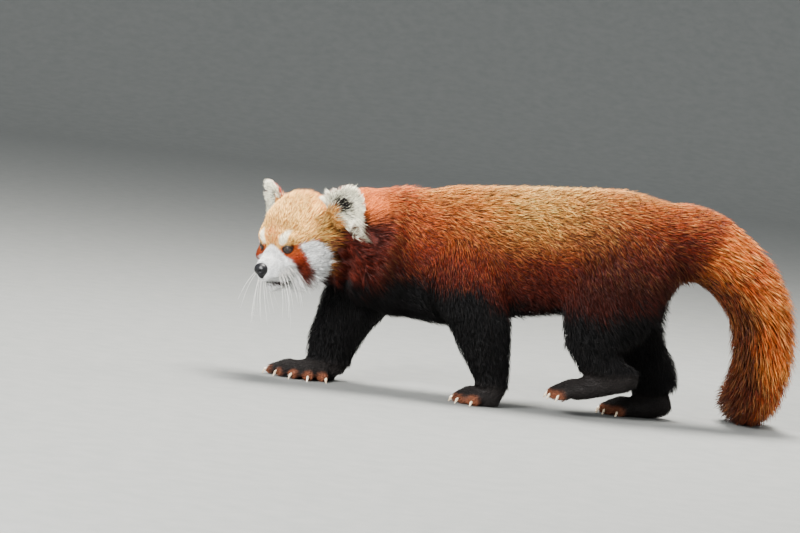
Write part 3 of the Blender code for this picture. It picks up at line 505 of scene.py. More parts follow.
skinPoints, skinFaces = remeshed(np.concatenate(sealPoints), np.concatenate(sealFaces), skinLook["voxel"])
print("flesh fused:", len(skinPoints), "points")
skinEdges = edgesOf(skinFaces)
skinKinds = spread(kindsAt(skinPoints), skinEdges, 6)
depth = skinKinds @ np.array([coatDepth[kind] for kind in kinds])
local = inHead(skinPoints)
depth += skinKinds[:, headKind] * ease(0.010, 0.060, local[:, 0]) * skinLook["jawDepth"]
normals = unit(spread(normalsOf(skinPoints, skinFaces), skinEdges, 2))
skinPoints = spread(skinPoints, skinEdges, 1) - normals * depth[:, None]
skinPoints, skinFaces = remeshed(skinPoints, skinFaces, skinLook["voxel"])
skinEdges = edgesOf(skinFaces)
skinPoints = spread(skinPoints, skinEdges, skinLook["smooth"])
calm = calmShare(spread(kindsAt(skinPoints), skinEdges, 8))
skinPoints = over(skinPoints, calm ** 2, spread(skinPoints, skinEdges, skinLook["trunkSmooth"]))
x, z = skinPoints[:, 0], skinPoints[:, 2]
rump = ease(0.11, 0.15, x) * ease(0.27, 0.24, x) * ease(0.16, 0.19, z)
skinPoints = over(skinPoints, rump, spread(skinPoints, skinEdges, skinLook["rumpSmooth"]))
away, _ = fromEar(inHead(skinPoints))
earFoot = spread(kindsAt(skinPoints), skinEdges, 3)[:, earKind] * besideTuft(away)
earFoot = np.clip(spread(earFoot[:, None], skinEdges, 6)[:, 0] * 1.6, 0, 1)
skinPoints = over(skinPoints, earFoot, spread(skinPoints, skinEdges, skinLook["earSmooth"]))
skinNormals = normalsOf(skinPoints, skinFaces)
withers = np.exp(-((skinPoints[:, 0] - withersX) / 0.028) ** 2) * ease(0.2, 0.7, skinNormals[:, 2])
skinPoints[:, 2] -= withers * skinLook["withersDip"]
skinNormals = normalsOf(skinPoints, skinFaces)
q = inHead(skinPoints)
groove = ease(0.0034, 0.0008, np.abs(q[:, 2] - mouthHeight(q[:, 0]))) * ease(0.004, -0.003, q[:, 0])
groove *= np.abs(q[:, 1]) < 0.04
skinPoints -= skinNormals * (groove * skinLook["mouth"])[:, None]
skinKinds = spread(kindsAt(skinPoints), skinEdges, 5)
away, _ = fromEar(inHead(skinPoints))
earBase = skinKinds[:, earKind] * besideTuft(away)
skinKinds[:, headKind] += earBase
skinKinds[:, earKind] -= earBase
print("skin laid:", len(skinPoints), "points", len(skinFaces), "triangles")


# lids: a shell over each eye with an almond opening
lidLook = dict(
    radius=0.0082, outer=0.0090, openWide=0.0064, openTall=0.0046, cornerPinch=0.30, upperShare=0.86,
    thickness=0.0005, slant=12.0, out=76, steps=48, rings=9,
)


def lidShell(side):
    centre = np.array((eyeDepth, side * eyeSpread, 0.0))
    gaze = unit(eyeGaze * (1, side, 1))
    flatWay = unit(np.cross((0, 0, 1.0), gaze)) * side  # toward the outer corner
    upWay = np.cross(gaze, flatWay) * side
    slant = math.radians(lidLook["slant"])
    longWay = flatWay * math.cos(slant) + upWay * math.sin(slant)
    tallWay = upWay * math.cos(slant) - flatWay * math.sin(slant)
    turn = np.arange(lidLook["steps"]) / lidLook["steps"] * 2 * math.pi
    wide = lidLook["openWide"] * np.cos(turn)
    tall = lidLook["openTall"] * np.sin(turn) * (1.0 - lidLook["cornerPinch"] * np.abs(np.cos(turn)) ** 1.5)
    tall = np.where(tall > 0, tall * lidLook["upperShare"], tall)
    reach = np.hypot(wide, tall)
    ways = (longWay * (wide / reach)[:, None] + tallWay * (tall / reach)[:, None])
    layers = []
    for inner in (0.0, lidLook["thickness"]):
        for ring in range(lidLook["rings"]):
            grow = ring / (lidLook["rings"] - 1)
            thicker = (lidLook["outer"] - lidLook["radius"]) * min(grow * 2.5, 1.0)
            radius = lidLook["radius"] + thicker - inner
            angle = np.arcsin(reach / lidLook["radius"]) * (1 - grow) + math.radians(lidLook["out"]) * grow
            layers.append(centre + (gaze * np.cos(angle)[:, None] + ways * np.sin(angle)[:, None]) * radius)
    return np.concatenate(layers) @ headTurn.T + eyeMidpoint


def lidFaces():
    steps, rings = lidLook["steps"], lidLook["rings"]
    inner = rings * steps
    outside, rest = [], []
    for step in range(steps):
        for ring in range(rings - 1):
            a, b = ring * steps + step, ring * steps + (step + 1) % steps
            outside.append((a, b, b + steps, a + steps))
            rest.append((a + inner, a + steps + inner, b + steps + inner, b + inner))
        for ring in (0, rings - 1):
            a, b = ring * steps + step, ring * steps + (step + 1) % steps
            rest.append((a, a + inner, b + inner, b))
    return outside, rest


lidOut, lidRest = lidFaces()
lidShells = {side: lidShell(side) for side in (-1, 1)}
lidCount = lidLook["rings"] * lidLook["steps"]
lidGrow = np.repeat(np.arange(lidLook["rings"]) / (lidLook["rings"] - 1), lidLook["steps"])
onlyHead = np.eye(len(kinds))[headKind]
furPoints, furFaces, furNormals, furKinds = [skinPoints], [skinFaces], [skinNormals], [skinKinds]
for side, whole in lidShells.items():
    shell = whole[:lidCount]
    faces = np.array([(a, b, c) for a, b, c, d in lidOut] + [(a, c, d) for a, b, c, d in lidOut])
    furFaces.append(faces + sum(len(points) for points in furPoints))
    furPoints.append(shell)
    furNormals.append(unit(shell - eyeCentre(side)))
    furKinds.append(np.tile(onlyHead, (lidCount, 1)))
lidShare = np.concatenate([np.full(len(skinPoints), -1.0), lidGrow, lidGrow])
furPoints, furFaces = np.concatenate(furPoints), np.concatenate(furFaces)
furNormals, furKinds = np.concatenate(furNormals), np.concatenate(furKinds)
furEdges = edgesOf(furFaces)


# markings
paints = dict(
    white=paint(253, 253, 251), cream=paint(253, 248, 222), straw=paint(253, 211, 124),
    tan=paint(240, 170, 82), sand=paint(251, 182, 84), gold=paint(244, 150, 52), orange=paint(228, 104, 32),
    rust=paint(166, 58, 25), deep=paint(106, 33, 19), maroon=paint(62, 20, 12), dark=paint(36, 20, 15),
    # the first grey here is used only as painted sheen around the top of the nose
    ash=paint(150, 150, 156), black=paint(9, 8, 9), soot=paint(34, 30, 29), toe=paint(132, 78, 54),
)
backLine = ((-0.27, -0.195, -0.055, 0.08, 0.20), (0.278, 0.291, 0.304, 0.318, 0.320))
bellyLine = ((-0.27, -0.19, -0.05, 0.00, 0.10, 0.18), (0.128, 0.117, 0.107, 0.128, 0.132, 0.145))
blackLine = ((-0.26, -0.22, -0.18, -0.125, -0.083, -0.053, -0.03, 0.018, 0.046, 0.103, 0.157, 0.18),
             (0.150, 0.157, 0.177, 0.166, 0.174, 0.157, 0.146, 0.150, 0.154, 0.148, 0.168, 0.180))
cheekPatch = [
    (0.010, 0.004), (0.018, 0.005), (0.027, 0.003), (0.034, -0.004), (0.037, -0.014), (0.039, -0.027),
    (0.036, -0.040), (0.032, -0.050), (0.027, -0.053), (0.022, -0.046), (0.016, -0.033), (0.011, -0.019),
    (0.007, -0.006),
]
claws = [name for name in nodes if name.startswith("claw")]
clawSpots = np.array([np.mean([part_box(name)[0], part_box(name)[1]], axis=0) for name in claws])


trunkLook = dict(
    shoulderDark=0.8, rumpDark=0.7, saddleX=0.005, saddleHalf=0.088, saddleShare=0.85,
    darkHairs=0.26, paleHairs=0.26, hairShare=0.75, mottle=0.25, mottleSize=0.006,
    blackEdge=0.010, blackRagged=0.022, greyHairs=0.18,
)
# the last share darkens the tail's underside with painted shade
tailLook = dict(
    ringTurn=2.6, goldShare=0.6, rustShare=0.55, rustFrom=7.5, rustTo=10.0, paleHairs=0.26, paleShare=0.45,
    darkHairs=0.22, darkShare=0.6, underShare=0.85,
)
pawLook = dict(toeFar=0.017, toeNear=0.009, rootShade=0.7)
# on the last line, the first three values place a painted grey sheen around the top of the nose
headLook = dict(
    paleHairs=0.52, paleShare=0.75, rustHairs=0.14, rootShade=0.42,
    browY=0.0200, browZ=0.0125, browLean=0.45, browWide=0.0058, browTall=0.0080,
    duskyNear=0.012, duskyFar=0.024, duskyShare=0.35, tearShade=0.55, tearDark=0.75,
)
earLook = dict(
    hollowUp=0.004, hollowAhead=0.006, hollowNear=0.0100, hollowFar=0.0150, rimFrom=0.020, rimTo=0.026,
)


# each of the next five gives a colour at the root and one at the tip of the coat
def trunkPaint(points, chance, wobble):
    x, z = points[:, 0], points[:, 2]
    back, belly = np.interp(x, *backLine), np.interp(x, *bellyLine)
    height = (z - belly) / (back - belly) + wobble * 0.05
    levels = (0.14, 0.32, 0.54, 0.78, 1.0)
    tones = np.array([paints[name] for name in ("maroon", "deep", "rust", "orange", "gold")])
    darker = trunkLook["shoulderDark"] * ease(-0.17, -0.21, x) + trunkLook["rumpDark"] * ease(0.03, 0.11, x)
    level = np.clip(height, 0, 1) ** (1 + darker) * (1 - 0.14 * ease(-0.15, -0.20, x))
    tip = np.stack([np.interp(level, levels, tone) for tone in tones.T], axis=1)
    saddle = np.exp(-((x - trunkLook["saddleX"]) / trunkLook["saddleHalf"]) ** 2) * ease(0.42, 0.85, height)
    tip = over(tip, saddle * trunkLook["saddleShare"], paints["sand"])
    root = tip * 0.12 + paints["maroon"] * 0.45
    coloured = ease(0.20, 0.45, height)
    tip = over(tip, coloured * (chance < trunkLook["darkHairs"]) * trunkLook["hairShare"], paints["maroon"])
    pale = 0.08 + 0.6 * saddle + 0.25 * ease(0.5, 0.9, height)
    tip = over(tip, coloured * (chance > 1 - trunkLook["paleHairs"]) * pale, paints["straw"])
    tip = tip * (1 + trunkLook["mottle"] * noiseAt(points, trunkLook["mottleSize"], 3))[:, None]
    edge = z + (chance - 0.5) * trunkLook["blackRagged"] + wobble * 0.007 - np.interp(x, *blackLine)
    black = ease(trunkLook["blackEdge"], -trunkLook["blackEdge"], edge)
    coal = over(paints["black"], (chance > 1 - trunkLook["greyHairs"]) * 0.8, paints["soot"])
    return over(root, black, paints["black"]), over(tip, black, coal)


def tailPaint(points, normals, chance, wobble):
    _, along = nearLine(points, tailLine[:, :3])
    ring = 0.5 + 0.5 * np.sin(along * tailLook["ringTurn"] + wobble * 0.9)
    # painted shade: the tail's underside and the side facing the body are darkened, to maroon at the tips and
    # black at the roots
    under = ease(-0.1, 0.6, -normals[:, 0] * 0.8 - normals[:, 2] * 0.6 + wobble * 0.15)
    under = under * ease(0.3, 1.6, along)
    last = ease(tailLook["rustFrom"], tailLook["rustTo"], along)
    tip = over(paints["orange"], ring * tailLook["goldShare"], paints["gold"])
    tip = over(tip, last * tailLook["rustShare"], paints["rust"])
    tip = over(tip, (chance > 1 - tailLook["paleHairs"]) * tailLook["paleShare"], paints["straw"])
    tip = over(tip, (chance < tailLook["darkHairs"]) * tailLook["darkShare"], paints["deep"])
    tip = over(tip, under * tailLook["underShare"], paints["maroon"])
    root = over(paints["rust"], 0.8 - 0.5 * ring, paints["maroon"])
    return over(root, under * 0.9, paints["black"]), tip


def pawPaint(points, wobble):
    toClaw = np.min(np.linalg.norm(points[:, None, :] - clawSpots[None], axis=2), axis=1)
    toe = ease(pawLook["toeFar"], pawLook["toeNear"], toClaw + wobble * 0.002)
    tip = over(paints["soot"], toe, paints["toe"])
    return tip * pawLook["rootShade"], tip


def headPaint(q, chance, wobble, edge):
    x, y, z = q[:, 0], np.abs(q[:, 1]), q[:, 2]
    start = np.interp(z, (-0.015, 0.018), (0.026, 0.050))
    rear = ease(0.0, 0.022, x - start + wobble * 0.006 + (chance - 0.5) * 0.014)
    rear = rear * ease(0.030, -0.002, z + wobble * 0.004)
    tip = over(paints["tan"], ease(0.03, 0.09, x) * 0.8, paints["orange"])
    bridge = ease(0.012, 0.0, x) * ease(-0.002, 0.010, z) * ease(0.017, 0.008, y)
    tip = over(tip, bridge * 0.75, paints["orange"])
    pale = (chance > 1 - headLook["paleHairs"]) * headLook["paleShare"] * ease(0.09, 0.05, x)
    tip = over(tip, pale, paints["straw"])
    tip = over(tip, (chance < headLook["rustHairs"]) * 0.6, paints["rust"])
    tip = over(tip, rear, paints["deep"])
    root = over(tip * headLook["rootShade"], rear, paints["maroon"] * 0.7)
    tip = over(tip, rear * (chance < 0.4) * 0.8, paints["maroon"])
    throat = ease(-0.050, -0.066, z - ease(0.03, 0.06, x) * 0.004 + edge) * ease(-0.004, 0.012, x)
    cheek = ease(-0.001, 0.0015, insidePatch(x, z, cheekPatch) + edge) * ease(0.004, 0.012, y)
    tear = ease(0.0050, 0.0010, z - 0.0015 + edge) * ease(0.034, 0.026, x + edge)
    tear = tear * ease(0.012, 0.018, y - z * 0.3)
    muzzle = ease(-0.0012, 0.0012, 0.005 - 0.55 * y - z + edge)
    muzzle = muzzle * ease(0.0014, -0.0014, x + 0.0053 - np.maximum(-0.016 - z, 0) * 0.80 + edge)
    browUp = z - headLook["browZ"]
    browAside = y - headLook["browY"] - browUp * headLook["browLean"]
    browOut = np.hypot(browAside / headLook["browWide"], browUp / headLook["browTall"])
    brow = ease(1.2, 0.8, browOut + edge * 70) * ease(0.02, 0.012, x)
    lips = ease(0.0032, 0.0014, np.abs(z - mouthHeight(x)) + (chance - 0.5) * 0.0024) * ease(0.004, -0.003, x)
    # painted sheen: a grey laid on the fur around the top of the nose, in place of the shine on the nose's
    # upper plane
    fromNose = np.linalg.norm(np.stack([x, y, z], axis=1) - noseTip, axis=1)
    noseSheen = ease(headLook["duskyFar"], headLook["duskyNear"], fromNose) * ease(-0.030, -0.016, z)
    noseSheen = noseSheen * headLook["duskyShare"]
    drop = z + wobble * 0.004
    streak = over(paints["orange"] * headLook["tearShade"], ease(-0.002, -0.014, drop), paints["rust"])
    streak = over(streak, ease(-0.010, -0.030, drop) * headLook["tearDark"], paints["maroon"])
    for mask, paler, top in (
        (tear, 0.6, streak), (cheek, 0.70, paints["white"]), (brow * 0.85, 0.8, paints["cream"]),
        (muzzle, 0.85, paints["white"]), (noseSheen, 0.9, paints["ash"]), (lips, 0.8, paints["dark"]),
        (throat, 1.0, paints["black"]),
    ):
        tip = over(tip, mask, top)
        root = over(root, mask, top * paler)
    fromEye = np.stack([x - eyeDepth, y - eyeSpread, z], axis=1)
    eyeAngle = np.degrees(np.arccos(np.clip(unit(fromEye) @ eyeGaze, -1, 1)))
    across = fromEye @ unit(np.cross((0, 0, 1.0), eyeGaze))
    opening = np.hypot(across / lidLook["openWide"], fromEye[:, 2] / lidLook["openTall"])
    rim = ease(1.30, 1.18, opening + edge * 20) * ease(70, 60, eyeAngle)
    rim = rim * ease(eyeRadius + 0.0034, eyeRadius + 0.0020, np.linalg.norm(fromEye, axis=1))
    return over(root, rim, paints["black"]), over(tip, rim, paints["dark"])


def earPaint(q, normals, chance, edge):
    away, front = fromEar(q)
    localNormal = normals @ headTurn
    localNormal[:, 1] *= np.sign(q[:, 1])
    faces = (localNormal * front).sum(1)
    inPlane = away - (away * front).sum(1, keepdims=True) * front
    darkPlace = earUp * earLook["hollowUp"] - earRear * earLook["hollowAhead"]
    fromDark = np.linalg.norm(inPlane - darkPlace, axis=1) + edge * 2 + (chance - 0.5) * 0.008
    hollow = ease(earLook["hollowFar"], earLook["hollowNear"], fromDark) * ease(-0.2, 0.2, faces)
    rimmed = ease(earLook["rimFrom"], earLook["rimTo"], np.linalg.norm(inPlane, axis=1))
    behind = ease(-0.2, -0.6, faces) * (1 - rimmed)
    tip = over(over(paints["cream"], behind, paints["rust"]), hollow * (chance < 0.85), paints["soot"])
    root = over(over(paints["cream"] * 0.80, behind, paints["deep"]), hollow, paints["black"])
    return root, tip


def markings(points, normals, held, chance):  # the colour at the root and at the tip of the coat
    share = {kind: held[:, index] for index, kind in enumerate(kinds)}
    wobble = noiseAt(points, 0.030, 1) * 0.6 + noiseAt(points, 0.009, 2) * 0.4
    edge = wobble * 0.0016 + (chance - 0.5) * 0.0022
    q = inHead(points)
    root, tip = trunkPaint(points, chance, wobble)
    for mask, (partRoot, partTip) in (
        (share["tail"], tailPaint(points, normals, chance, wobble)),
        (np.clip(share["forepaw"] + share["hindpaw"], 0, 1), pawPaint(points, wobble)),
        (share["head"], headPaint(q, chance, wobble, edge)),
        (ease(0.35, 0.6, share["ear"]), earPaint(q, normals, chance, edge)),
    ):
        root, tip = over(root, mask, partRoot), over(tip, mask, partTip)
    return root, tip


# lie, length and width of the coat over the skin
coatLook = {
    "torso": dict(length=0.0225, width=0.00112, lift=17.0, density=1.00),
    "neck": dict(length=0.0250, width=0.00112, lift=15.0, density=1.10),
    "head": dict(length=0.0085, width=0.00070, lift=16.0, density=3.20),
    "ear": dict(length=0.0080, width=0.00060, lift=15.0, density=4.20),
    "thigh": dict(length=0.0200, width=0.00112, lift=17.0, density=0.95),
    "foreleg": dict(length=0.0165, width=0.00105, lift=17.0, density=0.95),
    "shank": dict(length=0.0145, width=0.00100, lift=17.0, density=1.00),
    "forepaw": dict(length=0.0072, width=0.00072, lift=12.0, density=2.20),
    "hindpaw": dict(length=0.0072, width=0.00072, lift=12.0, density=2.20),
    "tail": dict(length=0.0400, width=0.00135, lift=28.0, density=0.98),
}
coatCount = 126000
lockLook = dict(tufts=8, size=0.022, fineSize=0.009, pull=(0.38, 0.28), reach=0.35)
tuftLook = dict(sink=0.0010, narrow=0.55, thick=0.42, floorGap=0.0006, patch=0.003, pieceLimit=190000)
shortStops, longStops = (0.0, 0.45), (0.0, 0.30, 0.66)


def lieAt(points, normals, held):  # which way the coat runs, and where it is the ear's hanging tuft
    x, z = points[:, 0], points[:, 2]
    side = np.abs(normals[:, 1])
    haunch = ease(0.02, 0.12, x) * ease(0.30, 0.20, z)
    trunk = unit(ways(1.0, 0.0, -0.10 - side * (0.28 + 0.55 * haunch)))
    leg = unit(np.array((0.30, 0.0, -1.0)))
    _, along = nearLine(points, tailLine[:, :3])
    onward = unit(np.gradient(tailLine[:, :3], axis=0))
    tail = np.stack([np.interp(along, np.arange(len(onward)), onward[:, axis]) for axis in range(3)], axis=1)
    trunk = over(trunk, ease(0.12, 0.19, x) * ease(0.18, 0.24, z), tail)
    trunk = over(trunk, ease(0.13, 0.17, x) * ease(0.235, 0.215, z), leg)
    q = inHead(points)
    mirror = np.sign(q[:, 1])
    cheek = ease(0.030, 0.060, q[:, 0]) * ease(0.03, -0.02, q[:, 2])
    head = unit(q - noseTip) + cheek[:, None] * ways(0.1, 0.15 * mirror, -0.75)
    fromEye = q - ways(eyeDepth, mirror * eyeSpread, 0.0)
    near = ease(0.019, 0.009, np.linalg.norm(fromEye, axis=1))[:, None]
    head = (head + near * 2.2 * unit(fromEye)) @ headTurn.T
    out, front = fromEar(q)
    out = out - (out * front).sum(1, keepdims=True) * front
    hanging = ease(-0.002, -0.013, out @ earUp) * ease(-0.012, 0.000, out @ earRear)
    inner = ease(0.021, 0.013, np.linalg.norm(out, axis=1))[:, None]
    ear = (unit(out) + 0.25 * earUp) * (1 - inner) + (1.3 * earRear + 0.4 * earUp) * inner
    ear = over(ear, hanging, tuftEnd - out) * ways(1.0, mirror, 1.0) @ headTurn.T
    paw = unit(np.array((-1.0, 0.0, -0.35)))
    lies = dict(
        torso=unit(trunk), neck=unit(ways(0.9, 0.0, -0.15 - side * 0.60)), head=unit(head), ear=unit(ear),
        thigh=unit(np.array((0.75, 0.0, -1.0))), foreleg=leg, shank=leg, forepaw=paw, hindpaw=paw, tail=tail,
    )
    lie = sum(held[:, index, None] * lies[kind] for index, kind in enumerate(kinds))
    return lie, hanging * ease(0.4, 0.7, held[:, earKind])


furKinds = over(furKinds, calmShare(furKinds) ** 2, spread(furKinds, furEdges, 25))
furLie, hanging = lieAt(furPoints, furNormals, furKinds)
for _ in range(3):
    furLie = furLie - (furLie * furNormals).sum(1, keepdims=True) * furNormals
    furLie = unit(spread(unit(furLie), furEdges, 4))
growth = {}
for key in ("length", "width", "lift", "density"):
    growth[key] = furKinds @ np.array([coatLook[kind][key] for kind in kinds])


def grow(mask, **shares):  # changes the coat by these shares where the mask is 1
    for key, share in shares.items():
        growth[key] *= 1 + share * mask


shareOf = dict(zip(kinds, furKinds.T))
q = inHead(furPoints)
ahead = ease(0.010, -0.015, q[:, 0])
face = ease(0.004, 0.062, q[:, 0]) * ease(0.045, 0.0, q[:, 2])
grow(shareOf["head"] * (2.1 * face + 0.25 * ease(0.0, 0.08, q[:, 0])), length=1)
grow(shareOf["head"] * ease(0.012, -0.020, q[:, 0]), length=-0.42)
grow(shareOf["head"] * (0.45 * face - 0.25 * ahead), width=1)
grow(shareOf["head"] * (0.9 * ease(0.010, -0.010, q[:, 0]) - 0.35 * face), density=1)
jaw = shareOf["head"] * ease(0.034, 0.020, q[:, 0]) * ease(-0.038, -0.046, q[:, 2])
grow(jaw, length=1.3, lift=1.6)
withers = (shareOf["torso"] + shareOf["neck"]) * np.exp(-((furPoints[:, 0] - withersX) / 0.030) ** 2)
grow(withers, length=-0.25, lift=-0.25)
earTop = shareOf["ear"] * (q[:, 1] < 0) * ease(0.008, 0.018, fromEar(q)[0] @ earUp)
grow(earTop, length=0.5)
crown = (shareOf["head"] + shareOf["ear"]) * ease(0.028, 0.050, q[:, 0]) * ease(0.090, 0.066, q[:, 0])
crown = crown * ease(0.022, 0.040, q[:, 2]) * ease(0.068, 0.058, np.abs(q[:, 1]))
grow(crown, length=0.5, lift=0.5)
grow(shareOf["head"] * ahead, lift=-0.25)
toEye = np.linalg.norm(np.stack([q[:, 0] - eyeDepth, np.abs(q[:, 1]) - eyeSpread, q[:, 2]], axis=1), axis=1)
grow(shareOf["head"] * ease(0.016, 0.010, toEye), length=-0.45)
grow(shareOf["head"] * ease(0.026, 0.014, toEye), density=1.1)
_, along = nearLine(furPoints, tailLine[:, :3])
grow(shareOf["tail"] * ease(4.5, 1.5, along), length=-0.35, lift=-0.55)
grow(shareOf["tail"] * ease(0.080, 0.120, furPoints[:, 1]), length=-0.60, lift=-0.35)
saddle = shareOf["torso"] * np.exp(-((furPoints[:, 0] - 0.03) / 0.08) ** 2)
grow(saddle, length=-0.25, lift=0.35)
toNose = np.linalg.norm((q - noseTip - np.array((0.004, 0, 0))) / np.array((0.0105, 0.0125, 0.0105)), axis=1)
growth["density"] *= np.where((toEye < eyeRadius + 0.0008) | (toNose < 1.06), 0.0, 1.0)
tuftLine = np.array((earCentres[0] - earUp * 0.017 + earRear * 0.006, earCentres[0] + tuftEnd * 0.9))
toTuft, _ = nearLine(ways(np.abs(q[:, 0]), np.abs(q[:, 1]), q[:, 2]), tuftLine)
grow(ease(0.012, 0.008, toTuft) * ease(0.5, 0.2, shareOf["ear"]), density=-1)
grow(hanging, density=0.8)
rearward = shareOf["thigh"] * ease(0.15, 0.6, furNormals[:, 0])
under = shareOf["torso"] * ease(-0.2, -0.7, furNormals[:, 2])
lidHair = dict(length=0.0036, width=0.00046, lift=8.0, density=12.8)  # on the lids, in the place of the rest
onLid = lidShare >= 0
for key, value in lidHair.items():
    growth[key][onLid] = value
growth["density"][onLid] *= lidShare[onLid] > 0.12
grow(1.1 * rearward + 0.7 * under + 0.35 * shareOf["neck"], lift=1)
grow(rearward, length=0.25)
print("lie of the coat worked out")


# roots of the tufts
corner = [furPoints[furFaces[:, index]] for index in range(3)]
area = np.linalg.norm(np.cross(corner[1] - corner[0], corner[2] - corner[0]), axis=1) * 0.5
chance = area * growth["density"][furFaces].mean(1)
steps = np.cumsum(chance) / chance.sum()
picked = np.searchsorted(steps, (np.arange(coatCount) + rng.random(coatCount)) / coatCount)
first, second = rng.random(coatCount), rng.random(coatCount)
flip = first + second > 1
first, second = np.where(flip, 1 - first, first), np.where(flip, 1 - second, second)
weights = np.stack([1 - first - second, first, second], axis=1)


def atRoots(values):
    held = values[furFaces[picked]]
    return (held * (weights if values.ndim == 1 else weights[:, :, None])).sum(1)


rootPlace = atRoots(furPoints)
rootNormal = unit(atRoots(furNormals))
rootLie = atRoots(furLie)
rootLie = unit(rootLie - (rootLie * rootNormal).sum(1, keepdims=True) * rootNormal)
rootKinds = atRoots(furKinds)
look = {key: atRoots(values) for key, values in growth.items()}
rootHanging, rootSaddle = atRoots(hanging), atRoots(saddle)
luck = rng.random(coatCount)
rootColour, tipColour = markings(rootPlace, rootNormal, rootKinds, luck)
tint = 1 + rng.normal(0, 0.05, (coatCount, 1)) * np.array((1.0, 0.8, 0.6))
rootColour, tipColour = np.clip(rootColour * tint, 0, 1), np.clip(tipColour * tint, 0, 1)
print("roots set:", coatCount)

# the unwrap of the skin that gives each tuft its own patch
coarse = addMesh("unwrapWork", skinPoints, skinFaces, None, None)
thinner = coarse.modifiers.new("thinner", "DECIMATE")
thinner.ratio = 0.05
flatMesh = bpy.data.meshes.new_from_object(coarse.evaluated_get(bpy.context.evaluated_depsgraph_get()))
bpy.data.objects.remove(coarse)
flat = bpy.data.objects.new("unwrapWork", flatMesh)
bpy.context.scene.collection.objects.link(flat)
bpy.context.view_layer.objects.active = flat
flat.select_set(True)
flatMesh.uv_layers.new(name="OFBake")
bpy.ops.object.mode_set(mode="EDIT")
bpy.ops.mesh.select_all(action="SELECT")
bpy.ops.uv.smart_project(angle_limit=math.radians(66), island_margin=0.004)
bpy.ops.object.mode_set(mode="OBJECT")
flatMesh.calc_loop_triangles()
flatFaces = np.array([t.vertices[:] for t in flatMesh.loop_triangles])
flatLoops = np.array([t.loops[:] for t in flatMesh.loop_triangles])
flatPoints, _ = arraysOf(flatMesh)
flatMap = np.zeros(len(flatMesh.loops) * 2)
flatMesh.uv_layers["OFBake"].data.foreach_get("uv", flatMap)
flatMap = flatMap.reshape(-1, 2)
flatTree = BVHTree.FromPolygons(flatPoints.tolist(), flatFaces.tolist())
bpy.data.objects.remove(flat)
found = [flatTree.find_nearest(Vector(p)) for p in rootPlace]
hit = np.array([f[0] for f in found])
onFace = np.array([f[2] for f in found])
a, b, c = (flatPoints[flatFaces[onFace][:, index]] for index in range(3))
across, upward, reach = b - a, c - a, hit - a
d00, d01, d11 = (across * across).sum(1), (across * upward).sum(1), (upward * upward).sum(1)
d20, d21 = (reach * across).sum(1), (reach * upward).sum(1)
below = np.maximum(d00 * d11 - d01 * d01, 1e-18)
v = np.clip((d11 * d20 - d01 * d21) / below, 0, 1)
w = np.clip((d00 * d21 - d01 * d20) / below, 0, 1)
corners = flatMap[flatLoops[onFace]]
rootMap = corners[:, 0] * (1 - v - w)[:, None] + corners[:, 1] * v[:, None] + corners[:, 2] * w[:, None]
print("skin unwrapped:", len(flatFaces), "faces")

# neighbouring tufts lean together into locks
heads = rng.choice(coatCount, coatCount // lockLook["tufts"], replace=False)
lockTree = KDTree(len(heads))
for index, place in enumerate(rootPlace[heads]):
    lockTree.insert(Vector(place), index)
lockTree.balance()
lockOf = heads[np.array([lockTree.find(Vector(p))[1] for p in rootPlace])]
length = look["length"] * rng.uniform(0.72, 1.15, coatCount)
lift = np.radians(look["lift"] * rng.uniform(0.6, 1.35, coatCount))
swing = rng.normal(0, 0.14, coatCount) * (1 + 1.3 * rootSaddle)
swing += noiseAt(rootPlace, lockLook["size"], 5) * 0.22
swing += noiseAt(rootPlace, lockLook["fineSize"], 6) * 0.5 * rootSaddle
sideways = np.cross(rootNormal, rootLie)
heading = rootLie * np.cos(swing)[:, None] + sideways * np.sin(swing)[:, None]
# the ear's lower hairs run together into one hanging tuft
rootLocal = inHead(rootPlace)
ends = earCentres[(rootLocal[:, 1] > 0).astype(int)] + tuftEnd
toEnd = (ends * ways(1.0, np.sign(rootLocal[:, 1]), 1.0) - rootLocal) @ headTurn.T
heading = unit(over(heading, rootHanging, unit(toEnd)))
hangingLength = np.minimum(np.linalg.norm(toEnd, axis=1), 0.040) * rng.uniform(0.6, 1.0, coatCount)
length = length * (1 - rootHanging) + hangingLength * rootHanging
lift *= 1 - 0.45 * rootHanging
strandShade = luck * 0.6 + rng.random(coatCount)[lockOf] * 0.4


def tuftPath(share):  # where a tuft is, that share of the way from its root to its tip
    rise = np.sin(lift) * (share * 1.25 - 0.30 * share ** 2)
    forward = np.cos(lift) * share
    return rootPlace + length[:, None] * (heading * forward + rootNormal * rise)


lift = lift[:, None]  # a column, as the places are
tips = tuftPath(1.0)
most, less = lockLook["pull"]
pull = most - less * rng.random(coatCount)
gather = (tips[lockOf] + heading * (length - length[lockOf])[:, None] - tips) * pull[:, None]
held = lockLook["reach"] * length / np.maximum(np.linalg.norm(gather, axis=1), 1e-9)
gather *= np.minimum(1, held)[:, None]


